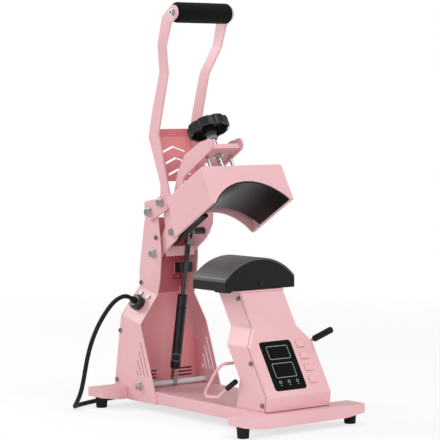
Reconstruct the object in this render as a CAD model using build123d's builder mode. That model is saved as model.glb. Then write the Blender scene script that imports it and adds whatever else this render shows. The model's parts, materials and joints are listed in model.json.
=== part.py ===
from build123d import *
import os
from math import atan2, cos, degrees, hypot, pi, radians, sin, sqrt, tan

os.makedirs("parts", exist_ok=True)

# A hand press for baseball caps. Lengths are in millimetres. +X is to the operator's right,
# +Y runs away from the operator, +Z is up. The origin is on the floor under the base's middle.
# The head is drawn open, as far as the gas strut lifts it.

# ------------------------------------------------------------------ clearances
running = 0.05          # radial play of a shaft in its bore
loose = 0.3             # between pieces that move past each other
seat = 0.2              # between a cover and the frame it drops into
reach = 600.0           # longer than any piece, for cuts and intersections
trim = 5.0              # how far a cutting shape runs past a face

# ------------------------------------------------------------------ base
sheet = 2.0
base_width = 260.0
base_length = 460.0
base_top = 36.0
bar_depth = 45.5
flange_drop = 21.5
wing_drop = 16.0
wing_taper = 40.0
foot_inset_x = 13.6
foot_inset_y = 23.0
foot_top_radius = 11.2
foot_bottom_radius = 9.7
foot_cone_height = 20.0
foot_recess_depth = 12.0
foot_screw_radius = 2.5
foot_screw_head_radius = 4.5
foot_screw_head = 3.0
weld_nut_radius = 6.0
weld_nut_height = 5.0

# ------------------------------------------------------------------ column
arm_half = 35.0         # outer faces of the two arm plates
arm_wall = 4.0
link_gap = 1.0
link_wall = 3.0
link_side_gap = 0.8
column_half = arm_half + link_gap + link_wall + link_side_gap
column_splay = 32.7
base_half = column_half + column_splay
fold_tilt = radians(14)
upper_fold = 165.4
lower_fold = 112.7
cheek_lap = 22.5
cheek_top_radius = 19.0
cheek_front_edge = [(132.6, 345.0), (124.0, 290.0), (124.0, 270.0), (129.0, 228.0), (136.0, 204.0),
                    (144.0, 153.0), (101.0, 37.0)]
cheek_rear_edge = [(226.0, base_top), (204.0, 165.0), (190.6, 219.0), (191.6, 246.0), (171.5, 351.0)]
cheek_toe_y = 92.0
cheek_heel_gap = 1.0
vent_width = 3.0
vent_foot_z = 60.5
vent_foot_y = [152.5, 142.5, 131.5, 120.5]
vent_tops = [68.5, 87.0, 104.0, 121.0]
vent_lean = 0.38        # run over rise, as the front edge leans
rear_screw_places = [(185.0, 224.0), (205.5, 137.0), (217.5, 46.0)]
stop_screw_place = (137.8, 307.8)
small_screw_radius = 2.0
small_head_radius = 4.0
small_head = 2.4
driver_slot = 0.8
small_grip = 4.0        # length of a small screw past its sheet

# ------------------------------------------------------------------ pivots, as (y, z)
strut_foot = (145.0, base_top + 6.5)
arm_pivot = (146.0, 279.0)
handle_pivot = (152.0, 353.5)
link_pivot = (94.0, 320.0)
crank_radius = 41.0
crank_angle = radians(153.5)
crank_pin = (handle_pivot[0] + crank_radius * cos(crank_angle),
             handle_pivot[1] + crank_radius * sin(crank_angle))
bolt_radius = 4.0
washer_radius = 9.0
washer_wall = 1.5
bolt_flats = 13.0
bolt_head = 5.5
nut_height = 6.5
thread_end = 2.0        # thread that shows past a nut
bush_radius = 6.0
spacer_radius = 7.0
foot_bolt_radius = 3.0
foot_shaft_radius = 5.0
foot_bolt_depth = 18.0

# ------------------------------------------------------------------ rear cover
cover_wall = 1.5
cover_web = [(172.0, base_top), (182.5, 190.0), (181.0, 217.0), (160.5, 342.0)]
cover_rear = [(170.5, 342.0), (191.1, 246.0), (190.1, 219.0), (203.5, 165.0), (225.5, base_top)]
cover_screw_bite = 8.0  # depth of a screw hole from the cheek's face
slot_inner_x = 18.0
slot_outer_x = 62.0
slot_height = 2.8
slot_reach = 190.0      # the slots pass the web and stop short of the back
slot_levels = [49.0, 55.2, 61.5]

# ------------------------------------------------------------------ cable gland
gland_y = 170.0
gland_w = 140.3         # height up the facet, measured square to the folds
gland_collar_radius = 13.0
gland_collar_length = 15.0
gland_thread_radius = 8.0
gland_nut_flats = 20.0
gland_nut_height = 4.0
relief_length = 22.0
relief_root_radius = 6.6
relief_tip_wall = 0.8
gland_chamfer = 2.5
facet_screw_rise = 18.7
facet_screw_spacing = 23.0

# ------------------------------------------------------------------ housing
housing_top = 227.5
neck_half = 45.5
housing_half = 67.3
shoulder_top = 169.0
shoulder_bottom = 141.0
face_foot = (-214.2, 61.0)
face_head_y = -113.4
housing_front_y = -211.0
rear_head_y = -48.5
rear_knee = (-136.0, 85.0)
rear_foot_y = -127.0
housing_wall = 1.5
panel_run = 1.95        # the front panel's wall, measured along y
panel_return = 8.0
panel_lift = 1.2        # dark line under the front panel
neck_plate_wall = 2.5
neck_plate_lip = 1.5
housing_screws_places = [(-106.0, 217.0, neck_half), (-167.0, 114.0, housing_half),
                         (-197.0, 47.0, housing_half)]

# ------------------------------------------------------------------ display and buttons, on the face
display_width = 68.0
display_height = 90.0
display_x = -13.6
display_corner = 6.0
display_proud = 0.4
display_flange = 2.5
display_wall = 1.5
display_film = 0.05     # glue between the window and the panel
button_x = 38.4
button_width = 17.0
button_height = 12.0
button_corner = 3.0
button_pitch = 22.2
button_middle = 2.2
button_proud = 2.6
button_flange = 1.5
button_flange_wall = 1.2
button_travel = 1.0
button_round = 1.2
button_stem_size = 5.0
board_depth = 9.0       # from the face's inside to the circuit board
board_wall = 1.6
board_x = -2.0
board_width = 96.0
board_height = 112.0
board_margin = 5.0
standoff_radius = 3.0
key_size = 6.0
key_height = 4.5

# ------------------------------------------------------------------ lower platen
platen_front_y = -108.4
platen_rear_y = -17.6
platen_half = 76.0
platen_bottom = 230.0
pad_radius = 103.0
pad_wall = 3.5
platen_axis_z = 181.5
platen_skin = 6.0
platen_screw_z = 241.0
platen_bolt_radius = 3.0
platen_bolt_x = 26.0
platen_bolt_y = 18.0
platen_bolt_flats = 10.0
platen_bolt_head = 4.0
platen_bolt_depth = 10.0
platen_tap_depth = 12.0
crown_margin = 2.0      # from the bolts' bosses to the crown's inside
tab_width = 14.0
tab_length = 30.0
tab_height = 2.0

# ------------------------------------------------------------------ arm and head, as the head stands closed
open_angle = radians(30)
head_y = -208.0         # pressure screw's axis, from the arm's pivot
arm_nose = (-232.7, 93.1)
arm_nose_radius = 11.0
arm_disc_radius = 12.5
arm_lower_edge = [(-232.0, 82.1), (-140.0, 79.5), (-129.0, 62.5), (-93.0, 8.7), (-63.0, -5.3), (-23.0, -8.5),
                  (-6.0, -10.8)]
arm_upper_edge = [(-2.0, 12.3), (-26.3, 18.3), (-47.4, 29.3), (-53.7, 51.3), (-103.0, 70.0),
                  (-129.0, 94.6), (-163.0, 112.0), (-217.0, 109.0), (-231.0, 104.0)]
web_front = 121.0
web_wall = 3.0
web_bottom = 274.5
web_height = 17.0
shaft_sleeve_radius = 6.25
shaft_sleeve_start = 7.0
link_head_radius = 6.5
link_head = 3.0
heater_cable_x = -22.0
heater_cable_radius = 4.5
heater_cable_bend = 20.0
heater_cable_points = [(-150.0, -1.5), (-46.0, -2.0), (-32.5, 4.2), (-14.0, 6.5)]
cross_plate_bottom = 85.0
cross_plate_wall = 9.0
cross_plate_depth = 54.0
rod_x = 24.8
rod_radius = 3.0
rod_top = 100.0
rod_foot = 18.0
screw_radius = 6.0
screw_foot = 26.0
nut_flange_radius = 10.0
nut_flange_wall = 1.5
nut_sleeve_radius = 8.5

cover_half = 88.5
cover_front_y = -257.0
cover_top_length = 112.0
cover_bottom_length = 127.0
cover_bottom = -30.6
cover_top = 39.0
cover_lip = 7.0
cover_corner = 5.0
arch_gap = 3.0
platen_gap = 0.5        # between the two platens when the head is closed
heating_wall = 12.0
heating_half = 79.0
heating_depth = 94.0
heater_wall = 2.0
insulation_wall = 6.0
boss_radius = 12.0
boss_top = 33.0
layer_margin = 3.0      # from the heater's edge to the platen's edge
rod_boss_radius = 5.5
thrust_radius = 9.5
thrust_wall = 3.0
knob_radius = 37.2
knob_middle = 141.0
knob_height = 17.0
knob_lobes = 8
knob_scallop = 8.0
knob_scallop_place = 42.6
knob_round = 3.0
knob_wall = 4.0
knob_roof = 5.0
knob_hub_radius = 11.0
knob_hub_drop = 4.0
knob_nut_flats = 18.0
knob_nut_height = 12.0

# ------------------------------------------------------------------ handle
handle_gap = 1.2
handle_wall = 4.0
handle_jog = 16.0
jog_tilt = radians(8.25)
jog_start = 580.7
jog_end = 630.5
handle_heel_radius = 16.0
handle_heel = (144.6, 339.3)
handle_nose = (49.0, 696.0)
handle_front_edge = [(62.0, 688.0), (77.3, 648.2), (93.7, 599.2), (111.9, 536.7), (124.6, 492.2),
                     (89.4, 383.2), (98.4, 360.3)]
handle_rear_edge = [(166.0, 372.0), (130.0, 378.0), (117.3, 384.0), (117.1, 404.7), (152.7, 489.2),
                    (139.8, 536.7), (117.6, 603.9), (100.8, 651.6), (86.7, 700.5), (66.0, 715.0)]
grip_centre = (55.0, 707.0)
grip_end_radius = 13.0
grip_radius = 18.25
grip_length = 117.0
grip_tube_radius = 11.0
grip_tube_wall = 1.5
grip_bolt_radius = 3.0
grip_plug_depth = 14.0
grip_round = 5.0
grip_washer_radius = 7.0
grip_washer_wall = 1.2
grip_head_radius = 5.0
grip_head = 3.5
grip_thread = 12.0
key_flats = 5.0
key_depth = 2.5
yoke_wall = 3.0
yoke_foot = (119.0, 409.0)
yoke_knee = (152.7, 489.2)
yoke_lip = 14.0
yoke_corner_drop = 0.5
chevron_half = 25.0
chevron_rise = 10.0
chevron_width = 4.0
chevron_levels = [24.0, 46.0, 68.0]
link_radius = 9.5
link_waist = 17.0
crank_washer_radius = 8.0

# ------------------------------------------------------------------ gas strut, along its axis from the foot
strut_tube_start = 27.0
strut_tube_end = 164.0
strut_tube_radius = 9.2
strut_bore_radius = 7.4
strut_end_wall = 8.0
strut_groove = 0.7
strut_groove_place = 23.0
strut_rod_radius = 4.0
piston_height = 10.0
piston_place = 138.0
rod_sleeve_radius = 4.9
rod_sleeve_start = 228.0
rod_sleeve_end = 259.0
fork_start = 259.0
fork_width = 12.0
fork_slot = 6.0
fork_radius = 8.0
fork_neck = 12.0
fork_bore_radius = 6.0
fork_slot_depth = 13.0
foot_eye_width = 10.0
foot_lug_width = 9.0
foot_lug_depth = 11.0

# ------------------------------------------------------------------ limit switch
switch_box = (28.0, 16.0, 18.0)
switch_corner = (2.0, 126.0, 243.0)
switch_tab_wall = 2.0
lever_size = (6.0, 2.0, 5.0)
switch_wire_radius = 1.2
switch_wire_bend = 2.5
switch_wire_route = [(1.5, 10.0, 2.0), (1.5, 10.0, -3.0), (-14.0, 12.0, -11.0), (12.0, 14.0, -11.0),
                     (12.0, 14.0, 2.0)]

# ------------------------------------------------------------------ hold-down wire
wire_radius = 2.75
wire_shaft = (-98.0, 107.0)
wire_side_x = 75.0
wire_bend = 6.0
hook_points = [(-80.8, 93.0), (-43.5, 46.0), (-87.0, 49.0), (-108.4, 65.2), (-131.0, 79.0)]
lever_points = [(-154.0, 141.0), (-200.0, 161.5)]
hook_grip_length = 27.0
lever_grip_length = 46.0
hook_grip_radius = 4.6
lever_grip_radius = 5.6
wire_ear_x = 30.0
wire_ear_wall = 3.0
wire_ear_radius = 8.0
wire_ear_foot = 12.0

# ------------------------------------------------------------------ mains cord
cord_radius = 4.0
cord_first_run = 11.0
cord_points = [(-101.5, 165.5, 202.8), (-118.0, 166.0, 193.5), (-134.0, 167.0, 176.0),
               (-149.0, 168.5, 153.5), (-160.5, 170.0, 129.0), (-168.5, 171.5, 103.5), (-173.5, 173.0, 77.5),
               (-176.5, 176.0, 53.5), (-177.5, 184.0, 31.5), (-176.5, 198.0, 14.5), (-170.0, 215.5, 5.2),
               (-154.0, 231.5, 4.0), (-131.0, 243.5, 4.0), (-105.5, 253.0, 4.0), (-79.0, 261.0, 4.0),
               (-52.0, 268.0, 4.0), (-25.0, 273.5, 4.0), (3.0, 277.5, 4.0), (29.0, 280.0, 4.0),
               (53.0, 280.0, 4.0)]
coil_centre = (98.0, 330.0)
coil_outer_radius = 54.0
coil_inner_radius = 37.4
coil_height = 16.0
coil_stub = 45.0
plug_width = 24.0
plug_height = 24.0
plug_length = 34.0
plug_relief_length = 20.0
plug_relief_tip = 5.0
plug_relief_foot = 7.0
plug_corner = 5.0
pin_width = 6.3
pin_wall = 1.5
pin_length = 16.0
pin_spacing = 12.7
earth_pin_radius = 2.4
earth_pin_drop = 8.0
earth_pin_length = 19.0

# ------------------------------------------------------------------ planes
handle_inner = column_half + sheet + handle_gap
handle_upper_inner = handle_inner + handle_jog
head_plane = Plane(origin=(0, arm_pivot[0], arm_pivot[1]), x_dir=(1, 0, 0),
                   z_dir=(0, sin(open_angle), cos(open_angle)))
face_run = face_head_y - face_foot[0]
face_rise = housing_top - face_foot[1]
face_length = hypot(face_run, face_rise)
face_up = (0, face_run / face_length, face_rise / face_length)
display_level = 109.0
face_y = face_foot[0] + (display_level - face_foot[1]) * face_run / face_rise
face_plane = Plane(origin=(0, face_y, display_level), x_dir=(1, 0, 0), z_dir=(0, -face_up[2], face_up[1]))
strut_run = link_pivot[0] - strut_foot[0]
strut_rise = link_pivot[1] - strut_foot[1]
strut_length = hypot(strut_run, strut_rise)
strut_plane = Plane(origin=(0, strut_foot[0], strut_foot[1]), x_dir=(1, 0, 0),
                    z_dir=(0, strut_run / strut_length, strut_rise / strut_length))
facet_run = hypot(column_splay, upper_fold - lower_fold)
facet_x = column_splay / facet_run
facet_w = (upper_fold - lower_fold) / facet_run
gland_z = (gland_w + gland_y * sin(fold_tilt)) / cos(fold_tilt)
gland_x = -(base_half + sheet - (gland_w - lower_fold) * column_splay / (upper_fold - lower_fold))
gland_axis = Vector(-facet_w, -facet_x * sin(fold_tilt), facet_x * cos(fold_tilt))
gland_plane = Plane(origin=(gland_x, gland_y, gland_z), x_dir=(0, cos(fold_tilt), sin(fold_tilt)),
                    z_dir=gland_axis)


def side_plane(x):
    return Plane.YZ.offset(x)


def head_side(x):
    """The head's own side view: across is y, up is z, and the normal is +X."""
    origin = head_plane.from_local_coords((x, 0, 0))
    return Plane(origin=origin, x_dir=head_plane.y_dir, z_dir=head_plane.x_dir)


def head_level(z):
    """A plane square to the pressure screw, centred on it."""
    return Plane(origin=head_plane.from_local_coords((0, head_y, z)), x_dir=head_plane.x_dir,
                 z_dir=head_plane.z_dir)


def strut_level(distance):
    return strut_plane.offset(distance)


def outline(points):
    with BuildLine() as edge:
        Polyline(*points, close=True)
    make_face(edge.edges())


# ------------------------------------------------------------------ shapes used more than once
# Each of these adds to, or cuts from, the part whose block calls it.

def rod(plane, radius, length, mode=Mode.ADD):
    with BuildSketch(plane) as section:
        Circle(radius)
    extrude(section.sketch, amount=length, mode=mode)


def ring(plane, radius, bore, length, mode=Mode.ADD):
    with BuildSketch(plane) as section:
        Circle(radius)
        Circle(bore, mode=Mode.SUBTRACT)
    extrude(section.sketch, amount=length, mode=mode)


def block(plane, width, height, length, corner=0, mode=Mode.ADD):
    with BuildSketch(plane) as section:
        if corner > 0:
            RectangleRounded(width, height, corner)
        else:
            Rectangle(width, height)
    extrude(section.sketch, amount=length, mode=mode)


def hexagon(plane, flats, length, bore=0):
    with BuildSketch(plane) as section:
        RegularPolygon(flats / 2, 6, major_radius=False)
        if bore > 0:
            Circle(bore, mode=Mode.SUBTRACT)
    extrude(section.sketch, amount=length)


def at(plane, x, y):
    """The same plane with its origin moved within it."""
    return Plane(origin=plane.from_local_coords((x, y, 0)), x_dir=plane.x_dir, z_dir=plane.z_dir)


def outward(x, place):
    """A plane on the left at -x, facing left, centred on a (y, z) place."""
    return Plane(origin=(-x, place[0], place[1]), x_dir=(0, -1, 0), z_dir=(-1, 0, 0))


def hex_bolt(face, radius, length, flats, head):
    rod(face, washer_radius, washer_wall)
    hexagon(face.offset(washer_wall), flats, head)
    rod(face, radius, -length)


def small_screw(face, length):
    rod(face, small_head_radius, small_head)
    rod(face, small_screw_radius, -length)
    block(face.offset(small_head), driver_slot, 1.5 * small_head_radius, -driver_slot, mode=Mode.SUBTRACT)


def prism(points, plane, both_ways):
    """A plain solid from an outline, for intersecting and cutting."""
    with BuildPart() as solid:
        with BuildSketch(plane):
            outline(points)
        extrude(amount=both_ways, both=True)
    return solid.part


def folded_plate(bends, wall, tilt, side):
    """A left-hand plate bent along lines that rise to the rear, cut to a side outline."""
    across_folds = Plane(origin=(0, 0, 0), x_dir=(1, 0, 0), z_dir=(0, -cos(tilt), -sin(tilt)))
    inner = [(x + wall, w) for x, w in reversed(bends)]
    with BuildPart() as plate:
        add(prism(bends + inner, across_folds, reach))
        add(side, mode=Mode.INTERSECT)
    return plate.part


def side_blank(points, rounds):
    """A side outline, with round ends, as a thick solid."""
    with BuildPart() as blank:
        with BuildSketch(Plane.YZ):
            outline(points)
            for centre, radius in rounds:
                with Locations(centre):
                    Circle(radius)
        extrude(amount=reach, both=True)
    return blank.part


def farthest_face(part, direction):
    return part.faces().sort_by(lambda face: face.center().dot(Vector(*direction)))[-1]


def save(part, name):
    part.label = name
    export_step(part, f"parts/{name}.step")


# ------------------------------------------------------------------ base and feet
bar_y = (base_length - bar_depth) / 2
foot_x = base_width / 2 - foot_inset_x
foot_y = base_length / 2 - foot_inset_y
plate_underside = base_top - sheet


def base_outline(inset):
    Rectangle(2 * (base_half - inset), base_length - 2 * inset)
    with Locations((0, bar_y), (0, -bar_y)):
        Rectangle(base_width - 2 * inset, bar_depth - 2 * inset)


with BuildPart() as base_frame:
    with BuildSketch(Plane.XY.offset(base_top)):
        base_outline(0)
    extrude(amount=-flange_drop)
    with BuildSketch(Plane.XY.offset(plate_underside)):
        base_outline(sheet)
    extrude(amount=-flange_drop, mode=Mode.SUBTRACT)
    with BuildSketch(Plane.XZ):
        for side in (-1, 1):
            tip = side * base_width / 2
            outline([(tip - side * wing_taper, base_top - flange_drop), (tip, base_top - wing_drop),
                     (tip, base_top - flange_drop)])
    extrude(amount=base_length, both=True, mode=Mode.SUBTRACT)
    for x in (-foot_x, foot_x):
        for y in (-foot_y, foot_y):
            under_wing = Plane(origin=(x, y, plate_underside), z_dir=(0, 0, -1))
            ring(under_wing, weld_nut_radius, foot_screw_radius, weld_nut_height)
save(base_frame.part, "base_frame")

with BuildPart() as rubber_feet:
    for x in (-foot_x, foot_x):
        for y in (-foot_y, foot_y):
            floor = Plane(origin=(x, y, 0), z_dir=(0, 0, 1))
            with BuildSketch(floor) as foot_bottom:
                Circle(foot_bottom_radius)
            with BuildSketch(floor.offset(foot_cone_height)) as foot_top:
                Circle(foot_top_radius)
            loft([foot_bottom.sketch.face(), foot_top.sketch.face()])
            rod(floor.offset(foot_cone_height), foot_top_radius, plate_underside - foot_cone_height)
            rod(floor, foot_screw_head_radius + loose, foot_recess_depth, Mode.SUBTRACT)
            rod(floor, foot_screw_radius, plate_underside, Mode.SUBTRACT)
            rod(floor.offset(plate_underside), weld_nut_radius, -weld_nut_height, Mode.SUBTRACT)
save(rubber_feet.part, "rubber_feet")

with BuildPart() as foot_screws:
    for x in (-foot_x, foot_x):
        for y in (-foot_y, foot_y):
            head_seat = Plane(origin=(x, y, foot_recess_depth), z_dir=(0, 0, 1))
            rod(head_seat, foot_screw_head_radius, -foot_screw_head)
            rod(head_seat, foot_screw_radius, plate_underside - foot_recess_depth - loose)
save(foot_screws.part, "foot_screws")

# ------------------------------------------------------------------ column
cheek_bottom = base_top - cheek_lap
cheek_points = (cheek_front_edge
                + [(cheek_toe_y, cheek_bottom), (base_length / 2 - bar_depth - cheek_heel_gap, cheek_bottom),
                   (base_length / 2 - bar_depth - cheek_heel_gap, base_top)]
                + cheek_rear_edge
                + [(handle_pivot[0] + cheek_top_radius, handle_pivot[1]),
                   (handle_pivot[0] - cheek_top_radius, handle_pivot[1])])
cheek_bends = [(-base_half - sheet, lower_fold - reach), (-base_half - sheet, lower_fold),
               (-column_half - sheet, upper_fold), (-column_half - sheet, upper_fold + reach)]
cheek_side = side_blank(cheek_points, [(handle_pivot, cheek_top_radius)])
cheek_blank = folded_plate(cheek_bends, sheet, fold_tilt, cheek_side)


def cut_cheek_holes():
    with BuildSketch(Plane.YZ) as holes:
        for place, radius in [(arm_pivot, bolt_radius), (handle_pivot, bolt_radius),
                              (strut_foot, foot_bolt_radius), (stop_screw_place, small_screw_radius)]:
            with Locations(place):
                Circle(radius)
        with Locations(*rear_screw_places):
            Circle(small_screw_radius)
        for vent_y, top in zip(vent_foot_y, vent_tops):
            lean = (top - vent_foot_z) * vent_lean
            half = vent_width / 2
            outline([(vent_y - half, vent_foot_z), (vent_y + half, vent_foot_z),
                     (vent_y + lean + half, top), (vent_y + lean - half, top)])
    extrude(holes.sketch, amount=reach, both=True, mode=Mode.SUBTRACT)


facet_screw_planes = [at(gland_plane, side * facet_screw_spacing / 2, -facet_screw_rise) for side in (-1, 1)]

with BuildPart() as left_cheek:
    add(cheek_blank)
    cut_cheek_holes()
    rod(gland_plane.offset(sheet), gland_thread_radius, -3 * sheet, Mode.SUBTRACT)
    for place in facet_screw_planes:
        rod(place.offset(sheet), small_screw_radius, -3 * sheet, Mode.SUBTRACT)
save(left_cheek.part, "left_cheek")

switch_x, switch_y, switch_z = switch_corner
switch_width, switch_depth, switch_height = switch_box
switch_middle_z = switch_z + switch_height / 2
switch_back = Plane(origin=((switch_x + column_half) / 2, switch_y + switch_depth, switch_middle_z),
                    x_dir=(1, 0, 0), z_dir=(0, 1, 0))

with BuildPart() as right_cheek:
    mirror(cheek_blank, about=Plane.YZ)
    cut_cheek_holes()
    block(switch_back, column_half - switch_x, switch_height, switch_tab_wall)
save(right_cheek.part, "right_cheek")


def column_core(inset):
    """The space between the cheeks, drawn square to the folds."""
    foot = base_half - inset
    neck = column_half - inset
    points = [(-foot, lower_fold - reach), (-foot, lower_fold),
              (-neck, upper_fold), (-neck, upper_fold + reach),
              (neck, upper_fold + reach), (neck, upper_fold),
              (foot, lower_fold), (foot, lower_fold - reach)]
    across_folds = Plane(origin=(0, 0, 0), x_dir=(1, 0, 0), z_dir=(0, -cos(fold_tilt), -sin(fold_tilt)))
    return prism(points, across_folds, reach)


def cheek_face_x(place):
    """Half-width of the cheek's outer face at a (y, z) place."""
    w = -place[0] * sin(fold_tilt) + place[1] * cos(fold_tilt)
    share = min(1, max(0, (w - lower_fold) / (upper_fold - lower_fold)))
    return base_half + sheet - share * column_splay


rear_cover_top = cover_web[-1][1]
cover_inside = [(y + cover_wall, min(z, rear_cover_top - cover_wall)) for y, z in cover_web]
cover_inside += [(y - cover_wall, min(z, rear_cover_top - cover_wall)) for y, z in cover_rear]
cover_inside += [(cover_inside[-1][0], 0), (cover_inside[0][0], 0)]

with BuildPart() as rear_cover:
    add(column_core(seat))
    add(prism(cover_web + cover_rear, Plane.YZ, reach), mode=Mode.INTERSECT)
    add(column_core(seat + cover_wall) & prism(cover_inside, Plane.YZ, reach), mode=Mode.SUBTRACT)
    with BuildSketch(Plane.XZ) as slots:
        for side in (-1, 1):
            for level in slot_levels:
                with Locations((side * (slot_inner_x + slot_outer_x) / 2, level)):
                    Rectangle(slot_outer_x - slot_inner_x, slot_height)
    extrude(slots.sketch, amount=-slot_reach, mode=Mode.SUBTRACT)
    for place in rear_screw_places:
        rod(outward(cheek_face_x(place), place), small_screw_radius, -cover_screw_bite, Mode.SUBTRACT)
        rod(outward(-cheek_face_x(place), place), small_screw_radius, cover_screw_bite, Mode.SUBTRACT)
save(rear_cover.part, "rear_cover")

with BuildPart() as sheet_screws:
    for place in rear_screw_places:
        small_screw(outward(cheek_face_x(place), place), sheet + seat + cover_wall + small_head)
    small_screw(outward(cheek_face_x(stop_screw_place), stop_screw_place), sheet + loose)
    for y, z, half in housing_screws_places:
        small_screw(outward(half, (y, z)), housing_wall + small_grip)
    mirror(about=Plane.YZ)
    for place in facet_screw_planes:
        small_screw(place, 2 * sheet)
save(sheet_screws.part, "sheet_screws")

with BuildPart() as strut_foot_shaft:
    rod(outward(base_half, strut_foot), foot_shaft_radius, -base_half)
    rod(outward(base_half, strut_foot), foot_bolt_radius, -foot_bolt_depth - loose, Mode.SUBTRACT)
    mirror(about=Plane.YZ)
save(strut_foot_shaft.part, "strut_foot_shaft")

with BuildPart() as foot_shaft_bolts:
    hex_bolt(outward(base_half + sheet, strut_foot), foot_bolt_radius, sheet + foot_bolt_depth,
             bolt_flats, bolt_head)
    mirror(about=Plane.YZ)
save(foot_shaft_bolts.part, "foot_shaft_bolts")

arm_inner = arm_half - arm_wall
with BuildPart() as arm_pivot_bolts:
    pivot_bolt_length = column_half + sheet - arm_inner + nut_height + thread_end
    hex_bolt(outward(column_half + sheet, arm_pivot), bolt_radius, pivot_bolt_length, bolt_flats, bolt_head)
    hexagon(outward(arm_inner - loose, arm_pivot), bolt_flats, -nut_height)
    rod(outward(column_half, arm_pivot), spacer_radius, arm_half + loose - column_half)
    mirror(about=Plane.YZ)
save(arm_pivot_bolts.part, "arm_pivot_bolts")

with BuildPart() as handle_pivot_bolts:
    head_seat = outward(handle_inner + handle_wall + loose, handle_pivot)
    hex_bolt(head_seat, bolt_radius, handle_inner + handle_wall + loose - column_half + nut_height,
             bolt_flats, bolt_head)
    hexagon(outward(column_half, handle_pivot), bolt_flats, -nut_height + link_side_gap)
    ring(outward(column_half + sheet, handle_pivot), washer_radius, bolt_radius, handle_gap - loose)
    mirror(about=Plane.YZ)
save(handle_pivot_bolts.part, "handle_pivot_bolts")

# ------------------------------------------------------------------ limit switch, worked by the arm's web
with BuildPart() as limit_switch:
    switch_front = Plane(origin=(switch_x + switch_width / 2, switch_y, switch_middle_z),
                         x_dir=(1, 0, 0), z_dir=(0, 1, 0))
    block(switch_front, switch_width, switch_height, switch_depth)
    lever_foot = Plane(origin=(switch_x + switch_width / 2, switch_y, switch_middle_z),
                       x_dir=(1, 0, 0), z_dir=(0, -1, 0))
    block(lever_foot, *lever_size)
    with BuildLine() as wire_loop:
        FilletPolyline(*[Vector(*switch_corner) + Vector(*point) for point in switch_wire_route],
                       radius=switch_wire_bend)
    with BuildSketch(Plane(origin=wire_loop.line @ 0, z_dir=wire_loop.line % 0)):
        Circle(switch_wire_radius)
    sweep(path=wire_loop.line)
save(limit_switch.part, "limit_switch")

# ------------------------------------------------------------------ cable gland
with BuildPart() as cable_gland:
    with BuildSketch(gland_plane):
        RegularPolygon(gland_collar_radius, 8, major_radius=False)
    extrude(amount=gland_collar_length)
    chamfer(farthest_face(cable_gland, gland_axis).edges(), gland_chamfer)
    rod(gland_plane, gland_thread_radius, -sheet - gland_nut_height - thread_end)
    hexagon(gland_plane.offset(-sheet * facet_w), gland_nut_flats, -gland_nut_height)
    rod(gland_plane.offset(gland_collar_length), relief_root_radius, -relief_length * 2, Mode.SUBTRACT)
save(cable_gland.part, "cable_gland")

with BuildPart() as strain_relief:
    with BuildSketch(gland_plane) as relief_root:
        Circle(relief_root_radius)
    with BuildSketch(gland_plane.offset(gland_collar_length)) as relief_mid:
        Circle(relief_root_radius)
    with BuildSketch(gland_plane.offset(relief_length)) as relief_tip:
        Circle(cord_radius + relief_tip_wall)
    loft([relief_root.sketch.face(), relief_mid.sketch.face()])
    loft([relief_mid.sketch.face(), relief_tip.sketch.face()])
save(strain_relief.part, "strain_relief")

# ------------------------------------------------------------------ housing
rear_slope = (rear_head_y - rear_knee[0]) / (housing_top - rear_knee[1])
panel_bottom = base_top + panel_lift


def housing_core(inset):
    """Front view of the housing, less a wall on each side."""
    points = []
    for side in (1, -1):
        half = [(side * (housing_half - inset), 0), (side * (housing_half - inset), shoulder_bottom),
                (side * (neck_half - inset), shoulder_top), (side * (neck_half - inset), reach)]
        points += half if side == 1 else half[::-1]
    return prism(points, Plane.XZ, reach)


def housing_side(front_inset, rear_inset, bottom, top):
    """Side view of the housing. An inset moves the front edge or the rear edge along y."""
    return [(housing_front_y + front_inset, bottom), (face_foot[0] + front_inset, face_foot[1]),
            (face_head_y + front_inset, top), (rear_head_y - rear_inset, top),
            (rear_knee[0] - rear_inset, rear_knee[1]), (rear_foot_y - rear_inset, bottom)]


def beyond(points, step):
    """The same side view, grown past its top and bottom for a clean cut."""
    front_foot, knee, head, rear_head, rear_bend, rear_foot = points
    return [(front_foot[0], front_foot[1] - step), front_foot, knee, head, (head[0], head[1] + step),
            (rear_head[0], rear_head[1] + step), rear_head, rear_bend, rear_foot,
            (rear_foot[0], rear_foot[1] - step)]


housing_blank = housing_core(0) & prism(
    housing_side(panel_return + loose, 0, base_top, housing_top), Plane.YZ, reach)
housing_hollow = housing_core(housing_wall) & prism(
    beyond(housing_side(-panel_return, 2 * housing_wall, base_top, housing_top), trim), Plane.YZ, reach)
panel_blank = housing_core(0) & prism(housing_side(0, 0, panel_bottom, housing_top), Plane.YZ, reach)
panel_zone = [(housing_front_y, panel_bottom), face_foot, (face_head_y, housing_top),
              (face_head_y + panel_return, housing_top), (face_foot[0] + panel_return, face_foot[1]),
              (housing_front_y + panel_return, panel_bottom)]
panel_hollow = housing_core(housing_wall) & prism(
    beyond(housing_side(panel_run, -panel_return, panel_bottom, housing_top), trim), Plane.YZ, reach)
button_planes = [at(face_plane, button_x, button_middle + (index - 1.5) * button_pitch)
                 for index in range(4)]
display_plane = at(face_plane, display_x, 0)
face_wall = panel_run * face_up[2]

rear_at_shaft = rear_knee[0] + (wire_shaft[1] - rear_knee[1]) * rear_slope
ear_points = [(rear_at_shaft + rear_slope * wire_ear_foot, wire_shaft[1] + wire_ear_foot),
              (wire_shaft[0], wire_shaft[1] + wire_ear_radius),
              (wire_shaft[0], wire_shaft[1] - wire_ear_radius),
              (rear_at_shaft - rear_slope * wire_ear_foot, wire_shaft[1] - wire_ear_foot)]

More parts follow.
